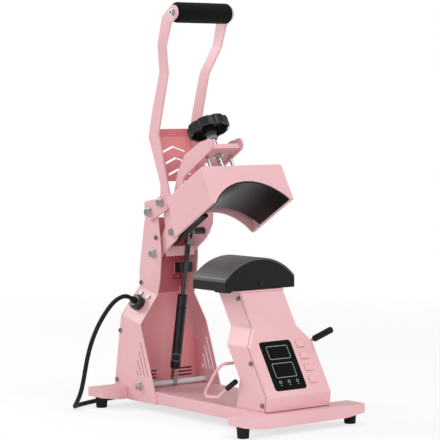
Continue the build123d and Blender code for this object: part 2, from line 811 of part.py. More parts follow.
with BuildPart() as housing_shell:
    add(housing_blank)
    add(housing_hollow, mode=Mode.SUBTRACT)
    for side in (-1, 1):
        with BuildSketch(side_plane(side * wire_ear_x - wire_ear_wall / 2)) as ear:
            outline(ear_points)
            with Locations(wire_shaft):
                Circle(wire_ear_radius)
                Circle(wire_radius + running, mode=Mode.SUBTRACT)
        extrude(ear.sketch, amount=wire_ear_wall)
    for y, z, half in housing_screws_places:
        rod(outward(reach, (y, z)), small_screw_radius, -2 * reach, Mode.SUBTRACT)
save(housing_shell.part, "housing_shell")

with BuildPart() as front_panel:
    add(panel_blank)
    add(prism(panel_zone, Plane.YZ, reach), mode=Mode.INTERSECT)
    add(panel_hollow, mode=Mode.SUBTRACT)
    block(display_plane, display_width + 2 * seat, display_height + 2 * seat, -panel_return, display_corner,
          Mode.SUBTRACT)
    for place in button_planes:
        block(place, button_width + 2 * loose, button_height + 2 * loose, -panel_return, button_corner,
              Mode.SUBTRACT)
save(front_panel.part, "front_panel")

neck_middle_y = (rear_head_y + face_head_y) / 2
with BuildPart() as neck_plate:
    neck_depth = rear_head_y - face_head_y + 2 * neck_plate_lip
    plate_centre = Plane(origin=(0, neck_middle_y, housing_top), z_dir=(0, 0, 1))
    block(plate_centre, 2 * (neck_half + neck_plate_lip), neck_depth, neck_plate_wall)
    for x in (-platen_bolt_x, platen_bolt_x):
        for y in (-platen_bolt_y, platen_bolt_y):
            rod(at(plate_centre, x, y), platen_bolt_radius, neck_plate_wall, Mode.SUBTRACT)
save(neck_plate.part, "neck_plate")

with BuildPart() as display_window:
    block(display_plane.offset(-face_wall), display_width, display_height, face_wall + display_proud,
          display_corner)
    block(display_plane.offset(-face_wall - display_film), display_width + 2 * display_flange,
          display_height + 2 * display_flange, -display_wall, display_corner + display_flange)
    block(display_plane.offset(-face_wall - display_film), display_width, display_height, display_film,
          display_corner)
save(display_window.part, "display_window")

board_plane = at(face_plane, board_x, 0).offset(-face_wall - board_depth)
with BuildPart() as circuit_board:
    block(board_plane, board_width, board_height, -board_wall)
    for x in (-1, 1):
        for y in (-1, 1):
            corner_plane = at(board_plane, x * (board_width / 2 - board_margin),
                              y * (board_height / 2 - board_margin))
            rod(corner_plane, standoff_radius, board_depth)
    for place in button_planes:
        foot_plane = place.offset(-face_wall - board_depth)
        block(foot_plane, key_size, key_size, key_height)
save(circuit_board.part, "circuit_board")

button_stem = board_depth - button_flange_wall - key_height - button_travel - loose
for index, place in enumerate(button_planes):
    with BuildPart() as button:
        block(place.offset(-face_wall - loose), button_width, button_height,
              face_wall + loose + button_proud, button_corner)
        fillet(farthest_face(button, face_plane.z_dir).edges(), button_round)
        block(place.offset(-face_wall - loose), button_width + 2 * button_flange,
              button_height + 2 * button_flange, -button_flange_wall)
        block(place.offset(-face_wall - loose - button_flange_wall), button_stem_size, button_stem_size,
              loose - button_stem)
    save(button.part, f"button_{4 - index}")

# ------------------------------------------------------------------ lower platen
platen_depth = platen_rear_y - platen_front_y
platen_radius = pad_radius - pad_wall
platen_edge_z = platen_axis_z + sqrt(platen_radius ** 2 - platen_half ** 2)
boss_side_x = platen_bolt_x + 2 * platen_bolt_radius
boss_crown_z = platen_axis_z + sqrt(platen_radius ** 2 - boss_side_x ** 2) - crown_margin


def crown(radius, half, bottom):
    """Front view of a platen: flat bottom, straight sides and a round top."""
    edge_z = platen_axis_z + sqrt(radius ** 2 - half ** 2)
    with BuildLine() as edge:
        Polyline((half, edge_z), (half, bottom), (-half, bottom), (-half, edge_z))
        ThreePointArc((-half, edge_z), (0, platen_axis_z + radius), (half, edge_z))
    make_face(edge.edges())


platen_end = Plane(origin=(0, platen_front_y, 0), x_dir=(-1, 0, 0), z_dir=(0, 1, 0))
with BuildPart() as lower_platen:
    with BuildSketch(platen_end) as platen_shape:
        crown(platen_radius, platen_half, platen_bottom)
    extrude(platen_shape.sketch, amount=platen_depth)
    with BuildSketch(platen_end.offset(platen_skin)) as platen_hollow:
        crown(platen_radius - platen_skin, platen_half - platen_skin, platen_bottom - platen_skin)
    extrude(platen_hollow.sketch, amount=platen_depth - 2 * platen_skin, mode=Mode.SUBTRACT)
    for x in (-platen_bolt_x, platen_bolt_x):
        for y in (-platen_bolt_y, platen_bolt_y):
            foot = at(Plane(origin=(0, neck_middle_y, platen_bottom), z_dir=(0, 0, 1)), x, y)
            rod(foot, 2 * platen_bolt_radius, boss_crown_z - platen_bottom)
            rod(foot, platen_bolt_radius, platen_tap_depth, Mode.SUBTRACT)
    front_face = Plane(origin=(0, platen_front_y, platen_screw_z), x_dir=(1, 0, 0), z_dir=(0, -1, 0))
    rod(front_face, small_screw_radius, -platen_skin, Mode.SUBTRACT)
    tab = Plane(origin=(-platen_half + tab_width / 2, platen_front_y + tab_length / 2, platen_bottom),
                z_dir=(0, 0, -1))
    block(tab, tab_width, tab_length, tab_height)
save(lower_platen.part, "lower_platen")

with BuildPart() as silicone_pad:
    with BuildSketch(platen_end) as pad_shape:
        crown(pad_radius, platen_half, platen_edge_z)
        with BuildLine() as under:
            Line((-platen_half, platen_edge_z), (platen_half, platen_edge_z))
            ThreePointArc((-platen_half, platen_edge_z), (0, platen_axis_z + platen_radius),
                          (platen_half, platen_edge_z))
        make_face(under.edges(), mode=Mode.SUBTRACT)
    extrude(pad_shape.sketch, amount=platen_depth)
save(silicone_pad.part, "silicone_pad")

with BuildPart() as platen_bolts:
    small_screw(front_face, platen_skin)
    for x in (-platen_bolt_x, platen_bolt_x):
        for y in (-platen_bolt_y, platen_bolt_y):
            under_plate = at(Plane(origin=(0, neck_middle_y, housing_top), z_dir=(0, 0, -1)), x, y)
            hexagon(under_plate, platen_bolt_flats, platen_bolt_head)
            rod(under_plate, platen_bolt_radius, -neck_plate_wall - platen_bolt_depth)
save(platen_bolts.part, "platen_bolts")

# ------------------------------------------------------------------ arm
link_pin_local = head_side(0).to_local_coords(Vector(0, link_pivot[0], link_pivot[1]))

with BuildPart() as left_arm_plate:
    with BuildSketch(head_side(-arm_half)) as arm_shape:
        outline(arm_lower_edge + arm_upper_edge)
        Circle(arm_disc_radius)
        with Locations(arm_nose):
            Circle(arm_nose_radius)
        Circle(bush_radius, mode=Mode.SUBTRACT)
        with Locations((link_pin_local.X, link_pin_local.Y)):
            Circle(bolt_radius, mode=Mode.SUBTRACT)
    extrude(arm_shape.sketch, amount=arm_wall)
save(left_arm_plate.part, "left_arm_plate")

with BuildPart() as right_arm_plate:
    mirror(left_arm_plate.part, about=Plane.YZ)
save(right_arm_plate.part, "right_arm_plate")

with BuildPart() as arm_web:
    with BuildSketch(side_plane(-arm_inner)):
        outline([(web_front, web_bottom), (web_front + web_wall, web_bottom),
                 (web_front + web_wall, web_bottom + web_height), (web_front, web_bottom + web_height)])
    extrude(amount=2 * arm_inner)
save(arm_web.part, "arm_web")

cross_level = head_level(cross_plate_bottom)
with BuildPart() as cross_plate:
    block(cross_level, 2 * arm_inner, cross_plate_depth, cross_plate_wall)
    rod(cross_level, nut_sleeve_radius, cross_plate_wall, Mode.SUBTRACT)
    for side in (-1, 1):
        rod(at(cross_level, side * rod_x, 0), rod_radius + running, cross_plate_wall, Mode.SUBTRACT)
save(cross_plate.part, "cross_plate")

with BuildPart() as screw_nut:
    ring(cross_level, nut_sleeve_radius, screw_radius + running, cross_plate_wall)
    ring(cross_level, nut_flange_radius, screw_radius + running, -nut_flange_wall)
save(screw_nut.part, "screw_nut")

shaft_end = arm_half + link_gap + link_wall + loose
with BuildPart() as link_shaft:
    rod(outward(shaft_end, link_pivot), bolt_radius, -2 * shaft_end)
    for x in (shaft_end + link_head, -shaft_end):
        rod(outward(x, link_pivot), link_head_radius, -link_head)
    for x in (arm_half + link_gap - running, -arm_half):
        rod(outward(x, link_pivot), bush_radius, running - link_gap)
save(link_shaft.part, "link_shaft")

with BuildPart() as nylon_sleeves:
    ring(outward(arm_inner, link_pivot), shaft_sleeve_radius, bolt_radius, shaft_sleeve_start - arm_inner)
    ring(outward(arm_half, arm_pivot), bush_radius, bolt_radius + running, -arm_wall)
    mirror(about=Plane.YZ)
save(nylon_sleeves.part, "nylon_sleeves")

with BuildPart() as heater_cable:
    with BuildLine() as cable_path:
        cable_route = [head_plane.from_local_coords((heater_cable_x, y, z)) for y, z in heater_cable_points]
        FilletPolyline(*cable_route, radius=heater_cable_bend)
    with BuildSketch(Plane(origin=cable_path.line @ 0, z_dir=cable_path.line % 0)):
        Circle(heater_cable_radius)
    sweep(path=cable_path.line)
save(heater_cable.part, "heater_cable")

# ------------------------------------------------------------------ head
head_base = head_level(0)
cover_front = cover_front_y - head_y
head_front = Plane(origin=head_plane.from_local_coords((0, cover_front_y, 0)), x_dir=head_plane.x_dir,
                   z_dir=-head_plane.y_dir)
arch_radius = pad_radius + arch_gap
arch_z = platen_axis_z - arm_pivot[1]
concave_radius = pad_radius + platen_gap


def arch_band(inner, outer, half):
    """Front view of a curved slab, in head_front's own axes."""
    with BuildLine() as edge:
        inner_z = arch_z + sqrt(inner ** 2 - half ** 2)
        outer_z = arch_z + sqrt(outer ** 2 - half ** 2)
        ThreePointArc((-half, inner_z), (0, arch_z + inner), (half, inner_z))
        Line((half, inner_z), (half, outer_z))
        ThreePointArc((half, outer_z), (0, arch_z + outer), (-half, outer_z))
        Line((-half, outer_z), (-half, inner_z))
    make_face(edge.edges())


def cover_side(inset):
    top = cover_top - inset
    return [(cover_front_y + inset, cover_bottom),
            (cover_front_y + cover_bottom_length - inset, cover_bottom),
            (cover_front_y + cover_top_length - inset, top), (cover_front_y + inset, top)]


with BuildPart() as head_cover:
    with BuildSketch(head_side(-cover_half)) as cover_shape:
        outline(cover_side(0))
    extrude(cover_shape.sketch, amount=2 * cover_half)
    upright = Vector(*head_plane.z_dir)
    long_edges = [edge for edge in head_cover.edges()
                  if abs(edge.tangent_at(0.5).dot(Vector(1, 0, 0))) < 0.01
                  and abs((edge.center() - head_plane.origin).dot(upright) - cover_top) < 0.01]
    fillet(long_edges, cover_corner)
    with BuildSketch(head_side(-cover_half + sheet)) as hollow_shape:
        outline(cover_side(sheet))
    extrude(hollow_shape.sketch, amount=2 * (cover_half - sheet), mode=Mode.SUBTRACT)
    for side in (-1, 1):
        lip_plane = at(head_base.offset(cover_bottom), side * (cover_half - cover_lip / 2),
                       cover_front + cover_bottom_length / 2)
        block(lip_plane, cover_lip, cover_bottom_length - 2 * sheet, sheet)
    with BuildSketch(head_front.offset(reach)) as arch:
        with Locations((0, arch_z)):
            Circle(arch_radius)
    extrude(arch.sketch, amount=-2 * reach, mode=Mode.SUBTRACT)
    rod(head_base, screw_radius + loose, reach, Mode.SUBTRACT)
    for side in (-1, 1):
        rod(at(head_base, side * rod_x, 0), rod_radius, reach, Mode.SUBTRACT)
save(head_cover.part, "head_cover")

heating_front = head_front.offset(-sheet - loose)
with BuildPart() as heating_platen:
    with BuildSketch(heating_front) as platen_band:
        arch_band(concave_radius, concave_radius + heating_wall, heating_half)
    extrude(platen_band.sketch, amount=-heating_depth)
    rod(head_base, boss_radius, boss_top)
    for side in (-1, 1):
        rod(at(head_base, side * rod_x, 0), rod_boss_radius, boss_top)
    rod(head_base.offset(screw_foot - loose), screw_radius + running, reach, Mode.SUBTRACT)
    for side in (-1, 1):
        rod(at(head_base.offset(rod_foot), side * rod_x, 0), rod_radius, reach, Mode.SUBTRACT)
    with BuildSketch(head_front) as arch_clear:
        with Locations((0, arch_z)):
            Circle(concave_radius)
    extrude(arch_clear.sketch, amount=-reach, mode=Mode.SUBTRACT)
save(heating_platen.part, "heating_platen")


def upper_layer(inner, wall, half):
    """A curved layer on the heating platen, with holes for its bosses."""
    with BuildSketch(heating_front) as band:
        arch_band(inner, inner + wall, half)
    extrude(band.sketch, amount=-heating_depth)
    rod(head_base, boss_radius + seat, boss_top, Mode.SUBTRACT)
    for side in (-1, 1):
        rod(at(head_base, side * rod_x, 0), rod_boss_radius + seat, boss_top, Mode.SUBTRACT)


with BuildPart() as heating_element:
    upper_layer(concave_radius + heating_wall, heater_wall, heating_half - layer_margin)
save(heating_element.part, "heating_element")

with BuildPart() as insulation_mat:
    upper_layer(concave_radius + heating_wall + heater_wall, insulation_wall, heating_half - layer_margin)
save(insulation_mat.part, "insulation_mat")

with BuildPart() as guide_rods:
    for side in (-1, 1):
        rod(at(head_base.offset(rod_foot), side * rod_x, 0), rod_radius, rod_top - rod_foot)
save(guide_rods.part, "guide_rods")

knob_foot_level = knob_middle - knob_height / 2
with BuildPart() as pressure_screw:
    rod(head_base.offset(screw_foot), screw_radius, knob_foot_level + knob_height - screw_foot)
    rod(head_base.offset(boss_top + seat), thrust_radius, thrust_wall)
    hexagon(head_base.offset(knob_foot_level - knob_hub_drop), knob_nut_flats, -knob_nut_height)
save(pressure_screw.part, "pressure_screw")

with BuildPart() as pressure_knob:
    knob_foot = head_base.offset(knob_foot_level)
    with BuildSketch(knob_foot) as lobed:
        Circle(knob_radius)
        with PolarLocations(knob_scallop_place, knob_lobes, start_angle=180 / knob_lobes):
            Circle(knob_scallop, mode=Mode.SUBTRACT)
        fillet(lobed.vertices(), knob_round)
    extrude(lobed.sketch, amount=knob_height)
    with BuildSketch(knob_foot) as knob_cavity:
        Circle(knob_radius - knob_wall)
        with PolarLocations(knob_scallop_place, knob_lobes, start_angle=180 / knob_lobes):
            Circle(knob_scallop + knob_wall, mode=Mode.SUBTRACT)
        Circle(knob_hub_radius, mode=Mode.SUBTRACT)
    extrude(knob_cavity.sketch, amount=knob_height - knob_roof, mode=Mode.SUBTRACT)
    rod(knob_foot, knob_hub_radius, -knob_hub_drop)
    rod(knob_foot.offset(-knob_hub_drop), screw_radius, knob_hub_drop + knob_height, Mode.SUBTRACT)
save(pressure_knob.part, "pressure_knob")

# ------------------------------------------------------------------ handle
handle_outer = handle_inner + handle_wall
handle_upper_outer = handle_upper_inner + handle_wall
handle_bends = [(-handle_outer, jog_start - reach), (-handle_outer, jog_start),
                (-handle_upper_outer, jog_end), (-handle_upper_outer, jog_end + reach)]
handle_points = (handle_front_edge + [handle_heel, (handle_pivot[0] + handle_heel_radius, handle_pivot[1])]
                 + handle_rear_edge + [handle_nose])
handle_ends = [(handle_pivot, handle_heel_radius), (grip_centre, grip_end_radius)]
handle_blank = side_blank(handle_points, handle_ends)

with BuildPart() as left_handle_arm:
    add(folded_plate(handle_bends, handle_wall, jog_tilt, handle_blank))
    for place, radius in [(handle_pivot, bolt_radius + running), (crank_pin, bolt_radius),
                          (grip_centre, grip_bolt_radius)]:
        rod(outward(reach, place), radius, -reach, Mode.SUBTRACT)
save(left_handle_arm.part, "left_handle_arm")

with BuildPart() as right_handle_arm:
    mirror(left_handle_arm.part, about=Plane.YZ)
save(right_handle_arm.part, "right_handle_arm")

yoke_run = yoke_knee[0] - yoke_foot[0]
yoke_rise = yoke_knee[1] - yoke_foot[1]
yoke_length = hypot(yoke_run, yoke_rise)
yoke_normal = (0, yoke_rise / yoke_length, -yoke_run / yoke_length)
yoke_plane = Plane(origin=(0, yoke_foot[0], yoke_foot[1]), x_dir=(-1, 0, 0), z_dir=yoke_normal)
lip_from, lip_to = handle_rear_edge[4:6]
lip_direction = atan2(lip_to[1] - lip_from[1], lip_to[0] - lip_from[0])

with BuildPart() as yoke_plate:
    along = (yoke_run / yoke_length, yoke_rise / yoke_length)
    lip_along = (cos(lip_direction), sin(lip_direction))
    lip_end = (yoke_knee[0] + lip_along[0] * yoke_lip, yoke_knee[1] + lip_along[1] * yoke_lip)
    with BuildSketch(side_plane(-handle_inner)) as yoke_profile:
        outline([yoke_foot, yoke_knee, lip_end,
                 (lip_end[0] - lip_along[1] * yoke_wall, lip_end[1] + lip_along[0] * yoke_wall),
                 (yoke_knee[0] - yoke_wall, yoke_knee[1] - yoke_corner_drop),
                 (yoke_foot[0] - along[1] * yoke_wall, yoke_foot[1] + along[0] * yoke_wall)])
    extrude(yoke_profile.sketch, amount=2 * handle_inner)
    with BuildSketch(yoke_plane.offset(trim)) as chevrons:
        for level in chevron_levels:
            outline([(-chevron_half, level - chevron_rise), (0, level), (chevron_half, level - chevron_rise),
                     (chevron_half, level - chevron_rise - chevron_width), (0, level - chevron_width),
                     (-chevron_half, level - chevron_rise - chevron_width)])
    extrude(chevrons.sketch, amount=-yoke_wall - 2 * trim, mode=Mode.SUBTRACT)
save(yoke_plate.part, "yoke_plate")

with BuildPart() as grip_tube:
    ring(outward(handle_upper_inner, grip_centre), grip_tube_radius, grip_tube_radius - grip_tube_wall,
         -2 * handle_upper_inner)
    for x in (handle_upper_inner, grip_plug_depth - handle_upper_inner):
        ring(outward(x, grip_centre), grip_tube_radius, grip_bolt_radius, -grip_plug_depth)
save(grip_tube.part, "grip_tube")

with BuildPart() as foam_grip:
    ring(outward(grip_length / 2, grip_centre), grip_radius, grip_tube_radius, -grip_length)
    rims = [edge for edge in foam_grip.edges().filter_by(GeomType.CIRCLE)
            if abs(edge.radius - grip_radius) < running]
    fillet(rims, grip_round)
save(foam_grip.part, "foam_grip")

with BuildPart() as grip_bolts:
    grip_bolt_seat = outward(handle_upper_inner + handle_wall, grip_centre)
    rod(grip_bolt_seat, grip_washer_radius, grip_washer_wall)
    rod(grip_bolt_seat.offset(grip_washer_wall), grip_head_radius, grip_head)
    rod(grip_bolt_seat, grip_bolt_radius, -handle_wall - grip_thread)
    with BuildSketch(grip_bolt_seat.offset(grip_washer_wall + grip_head)) as key_hole:
        RegularPolygon(key_flats / 2, 6, major_radius=False)
    extrude(key_hole.sketch, amount=-key_depth, mode=Mode.SUBTRACT)
    mirror(about=Plane.YZ)
save(grip_bolts.part, "grip_bolts")

with BuildPart() as crank_bolts:
    crank_seat = outward(handle_inner + handle_wall, crank_pin)
    rod(crank_seat, bolt_radius, -handle_wall)
    rod(crank_seat, crank_washer_radius, washer_wall)
    hexagon(crank_seat.offset(washer_wall), bolt_flats, bolt_head)
    mirror(about=Plane.YZ)
save(crank_bolts.part, "crank_bolts")

# ------------------------------------------------------------------ links
link_run = crank_pin[0] - link_pivot[0]
link_rise = crank_pin[1] - link_pivot[1]
link_length = hypot(link_run, link_rise)
link_outer = arm_half + link_gap + link_wall
with BuildPart() as toggle_links:
    with BuildSketch(side_plane(-link_outer)) as link_shape:
        with Locations(link_pivot, crank_pin):
            Circle(link_radius)
        with Locations(((link_pivot[0] + crank_pin[0]) / 2, (link_pivot[1] + crank_pin[1]) / 2)):
            Rectangle(link_length, link_waist, rotation=degrees(atan2(link_rise, link_run)))
        with Locations(link_pivot):
            Circle(bolt_radius + running, mode=Mode.SUBTRACT)
    extrude(link_shape.sketch, amount=link_wall)
    rod(outward(link_outer, crank_pin), bush_radius, handle_inner - link_outer - seat)
    mirror(about=Plane.YZ)
save(toggle_links.part, "toggle_links")

# ------------------------------------------------------------------ gas strut
with BuildPart() as strut_cylinder:
    rod(strut_level(strut_tube_start), strut_tube_radius, strut_tube_end - strut_tube_start)
    rod(strut_level(strut_tube_start + strut_end_wall), strut_bore_radius,
        strut_tube_end - strut_tube_start - 2 * strut_end_wall, Mode.SUBTRACT)
    rod(strut_level(strut_tube_start + strut_end_wall), strut_rod_radius + running, reach, Mode.SUBTRACT)
    ring(strut_level(strut_tube_end - strut_groove_place), 2 * strut_tube_radius,
         strut_tube_radius - strut_groove, 2 * strut_groove, Mode.SUBTRACT)
save(strut_cylinder.part, "strut_cylinder")

with BuildPart() as strut_foot_eye:
    foot_eye_radius = strut_foot[1] - base_top - loose
    rod(outward(foot_eye_width / 2, strut_foot), foot_eye_radius, -foot_eye_width)
    block(strut_level(0), foot_lug_width, foot_lug_depth, strut_tube_start)
    rod(outward(foot_eye_width, strut_foot), foot_shaft_radius + running, -2 * foot_eye_width, Mode.SUBTRACT)
save(strut_foot_eye.part, "strut_foot_eye")

with BuildPart() as strut_rod:
    rod(strut_level(piston_place), strut_rod_radius, fork_start - piston_place)
    rod(strut_level(piston_place), strut_bore_radius - running, piston_height)
save(strut_rod.part, "strut_rod")

with BuildPart() as rod_sleeve:
    ring(strut_level(rod_sleeve_start), rod_sleeve_radius, strut_rod_radius,
         rod_sleeve_end - rod_sleeve_start)
save(rod_sleeve.part, "rod_sleeve")

with BuildPart() as strut_fork:
    block(strut_level(fork_start), fork_width, fork_neck, strut_length - fork_start)
    rod(outward(fork_width / 2, link_pivot), fork_radius, -fork_width)
    block(strut_level(strut_length - fork_slot_depth), fork_slot, 4 * fork_radius, 3 * fork_radius,
          mode=Mode.SUBTRACT)
    rod(outward(fork_width, link_pivot), fork_bore_radius, -2 * fork_width, Mode.SUBTRACT)
save(strut_fork.part, "strut_fork")

# ------------------------------------------------------------------ hold-down wire
wire_left = [Vector(-wire_side_x, y, z) for y, z in [wire_shaft] + hook_points]
wire_right = [Vector(wire_side_x, y, z) for y, z in [wire_shaft] + lever_points]
wire_route = wire_left[::-1] + wire_right
with BuildPart() as hold_down_wire:
    with BuildLine() as wire_path:
        FilletPolyline(*wire_route, radius=wire_bend)
    with BuildSketch(Plane(origin=wire_path.line @ 0, z_dir=wire_path.line % 0)):
        Circle(wire_radius)
    sweep(path=wire_path.line)
save(hold_down_wire.part, "hold_down_wire")


def wire_grip(tip, inner, radius, length):
    """A sleeve pushed on the end of the wire, closed at the tip."""
    along_wire = (inner - tip).normalized()
    end = Plane(origin=tip - along_wire * radius, z_dir=along_wire)
    with BuildSketch(end) as section:
        Circle(radius)
    extrude(section.sketch, amount=length)
    rod(Plane(origin=tip, z_dir=along_wire), wire_radius, reach, Mode.SUBTRACT)


with BuildPart() as wire_grips:
    wire_grip(wire_left[-1], wire_left[-2], hook_grip_radius, hook_grip_length)
    wire_grip(wire_right[-1], wire_right[-2], lever_grip_radius, lever_grip_length)
save(wire_grips.part, "wire_grips")

# ------------------------------------------------------------------ mains cord
cord_start = Vector(gland_plane.from_local_coords((0, 0, relief_length)))
first_corner = cord_start + gland_axis.normalized() * cord_first_run
cord_route = [cord_start, first_corner] + [Vector(*point) for point in cord_points]
cord_radii = []
for before, corner, after in zip(cord_route, cord_route[1:], cord_route[2:]):
    turn = radians((corner - before).get_angle(after - corner))
    shorter = min((corner - before).length, (after - corner).length)
    cord_radii.append(0.45 * shorter / tan(turn / 2))
print("cord radii", [round(radius) for radius in cord_radii])

with BuildPart() as power_cord:
    with BuildLine() as cord_path:
        FilletPolyline(*cord_route, radius=cord_radii)
    with BuildSketch(Plane(origin=cord_path.line @ 0, z_dir=cord_path.line % 0)):
        Circle(cord_radius)
    sweep(path=cord_path.line)
save(power_cord.part, "power_cord")
cord_length = cord_path.wires()[0].length
print("cord length", round(cord_length, 1), "volume", round(power_cord.part.volume),
      "section times length", round(pi * cord_radius ** 2 * cord_length))

turn_outer = coil_outer_radius - cord_radius
with BuildPart() as cord_coil:
    coil_floor = Plane(origin=(coil_centre[0], coil_centre[1], 0), z_dir=(0, 0, 1))
    ring(coil_floor, coil_outer_radius, coil_inner_radius, coil_height)
    coil_x, coil_y = coil_centre
    entry = Plane(origin=(coil_x - coil_stub, coil_y - turn_outer, cord_radius), z_dir=(1, 0, 0))
    rod(entry, cord_radius, coil_stub)
    leave = Plane(origin=(coil_x + turn_outer, coil_y, coil_height - cord_radius), z_dir=(0, 1, 0))
    rod(leave, cord_radius, coil_stub)
save(cord_coil.part, "cord_coil")

plug_face = leave.offset(coil_stub)
with BuildPart() as power_plug:
    with BuildSketch(plug_face) as relief_end:
        Circle(plug_relief_tip)
    with BuildSketch(plug_face.offset(plug_relief_length)) as relief_foot:
        Circle(plug_relief_foot)
    loft([relief_end.sketch.face(), relief_foot.sketch.face()])
    block(plug_face.offset(plug_relief_length), plug_width, plug_height, plug_length, plug_corner)
save(power_plug.part, "power_plug")

pin_face = plug_face.offset(plug_relief_length + plug_length)
with BuildPart() as plug_pins:
    for side in (-1, 1):
        block(at(pin_face, side * pin_spacing / 2, 0), pin_wall, pin_width, pin_length)
    rod(at(pin_face, 0, -earth_pin_drop), earth_pin_radius, earth_pin_length)
save(plug_pins.part, "plug_pins")
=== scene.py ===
import json
from math import cos, pi, radians, sin

import bmesh
import bpy
from mathutils import Matrix, Vector, noise

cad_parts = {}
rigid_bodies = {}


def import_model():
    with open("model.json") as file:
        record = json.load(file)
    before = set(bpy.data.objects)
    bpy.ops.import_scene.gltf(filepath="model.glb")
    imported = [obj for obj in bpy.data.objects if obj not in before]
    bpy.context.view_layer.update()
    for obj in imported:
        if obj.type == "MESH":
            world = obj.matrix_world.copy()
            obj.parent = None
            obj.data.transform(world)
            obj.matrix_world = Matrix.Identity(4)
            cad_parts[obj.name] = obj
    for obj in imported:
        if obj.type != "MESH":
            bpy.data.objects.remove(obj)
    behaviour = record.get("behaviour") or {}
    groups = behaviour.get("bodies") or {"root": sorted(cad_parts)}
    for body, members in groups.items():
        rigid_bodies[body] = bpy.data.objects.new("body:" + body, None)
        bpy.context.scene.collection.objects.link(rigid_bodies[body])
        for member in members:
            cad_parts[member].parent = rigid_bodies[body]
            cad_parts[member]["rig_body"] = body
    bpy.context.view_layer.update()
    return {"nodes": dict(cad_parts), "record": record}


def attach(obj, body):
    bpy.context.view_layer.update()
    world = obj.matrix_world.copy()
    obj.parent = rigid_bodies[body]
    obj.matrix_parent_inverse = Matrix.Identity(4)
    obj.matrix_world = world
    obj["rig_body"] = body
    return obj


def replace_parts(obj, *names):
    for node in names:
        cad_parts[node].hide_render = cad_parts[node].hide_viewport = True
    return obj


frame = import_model()
nodes = frame["nodes"]
print("frame loaded:", len(nodes), "nodes")


# node trees, written as expressions

class Link:
    # a node's output; arithmetic on it adds Math nodes
    def __init__(self, tree, socket):
        self.tree, self.socket = tree, socket

    def maths(self, operation, other=None, swap=False):
        pair = [self] if other is None else ([other, self] if swap else [self, other])
        return self.tree.add("ShaderNodeMath", {"operation": operation}, dict(enumerate(pair)))

    def __add__(self, other):
        return self.maths("ADD", other)

    def __mul__(self, other):
        return self.maths("MULTIPLY", other)

    def __sub__(self, other):
        return self.maths("SUBTRACT", other)

    def __rsub__(self, other):
        return self.maths("SUBTRACT", other, swap=True)

    def __truediv__(self, other):
        return self.maths("DIVIDE", other)

    def __rtruediv__(self, other):
        return self.maths("DIVIDE", other, swap=True)

    __radd__ = __add__
    __rmul__ = __mul__

    def over(self, limit):
        return self.maths("GREATER_THAN", limit)

    def size(self):
        return self.maths("ABSOLUTE")

    def out(self, name):
        # another output of the same node
        return Link(self.tree, self.socket.node.outputs[name])


class Tree:
    # one method adds every kind of node
    def __init__(self, nodeTree):
        self.nodeTree = nodeTree

    def add(self, kind, settings=None, values=None, output=0):
        node = self.nodeTree.nodes.new(kind)
        for name, value in (settings or {}).items():
            if name == "stops":
                ramp = node.color_ramp.elements
                while len(ramp) < len(value):
                    ramp.new(0.5)
                for stop, (place, shade) in zip(ramp, value):
                    stop.position = place
                    stop.color = shade if isinstance(shade, tuple) else (shade, shade, shade, 1)
            else:
                setattr(node, name, value)
        for name, value in (values or {}).items():
            if isinstance(value, Link):
                self.nodeTree.links.new(value.socket, node.inputs[name])
            else:
                node.inputs[name].default_value = value
        return Link(self, node.outputs[output] if node.outputs else None)

    def blendColour(self, share, first, second):
        return self.add("ShaderNodeMix", {"data_type": "RGBA"}, {0: share, 6: first, 7: second}, 2)

    def noise(self, place, scale, detail=2.0, roughness=0.5):
        return self.add("ShaderNodeTexNoise", None, {"Vector": place, "Scale": scale, "Detail": detail,
                                                     "Roughness": roughness})

    def ramp(self, value, stops):
        return self.add("ShaderNodeValToRGB", {"stops": stops}, {0: value})


def newMaterial(name):
    material = bpy.data.materials.new(name)
    material.use_nodes = True
    material.node_tree.nodes.clear()
    return material, Tree(material.node_tree)


def finishMaterial(tree, material, **sockets):
    shader = tree.add("ShaderNodeBsdfPrincipled", None, sockets)
    tree.add("ShaderNodeOutputMaterial", None, {"Surface": shader})
    return material


def colour(red, green, blue):
    return (red, green, blue, 1.0)


# camera and studio

cameraPlace = {"target": (0.0, 0.0039, 0.344), "distance": 3.3613, "turn": -37.5, "rise": 3.5, "roll": -0.3,
               "focalPixels": 1917.8, "framePixels": 440, "sensor": 36.0}
studio = {"floorTone": 0.93, "floorGlow": 0.7, "floorRadius": 6, "fadeFrom": 0.6, "fadeTo": 2.4,
          "worldFill": 0.45, "lampAim": (0, 0, 0.3),
          "lamps": [("key", (-2.4, -1.5, 1.15), 1.8, 17.0), ("front", (0.4, -2.2, 2.6), 1.8, 36.0),
                    ("low", (-1.3, -2.5, 0.6), 1.2, 8.0), ("top", (0.2, 0.1, 2.6), 1.8, 9.0),
                    ("rear", (-1.3, 2.0, 1.55), 1.5, 30.0)]}


def makeCamera(place):
    turn, rise = radians(place["turn"]), radians(place["rise"])
    back = Vector((sin(turn) * cos(rise), -cos(turn) * cos(rise), sin(rise)))
    data = bpy.data.cameras.new("press_camera")
    data.sensor_width = place["sensor"]
    data.lens = place["focalPixels"] / place["framePixels"] * place["sensor"]
    camera = bpy.data.objects.new("press_camera", data)
    bpy.context.scene.collection.objects.link(camera)
    camera.rotation_mode = "QUATERNION"
    aim = back.to_track_quat("Z", "Y")
    camera.rotation_quaternion = aim @ Matrix.Rotation(radians(place["roll"]), 4, "Z").to_quaternion()
    camera.location = Vector(place["target"]) + back * place["distance"]
    bpy.context.scene.camera = camera


def makeLamps(settings):
    for name, place, size, power in settings["lamps"]:
        data = bpy.data.lights.new(name, "AREA")
        data.shape = "DISK"
        data.size = size
        data.energy = power
        lamp = bpy.data.objects.new(name, data)
        lamp.location = place
        lamp.rotation_mode = "QUATERNION"
        lamp.rotation_quaternion = (Vector(place) - Vector(settings["lampAim"])).to_track_quat("Z", "Y")
        bpy.context.scene.collection.objects.link(lamp)


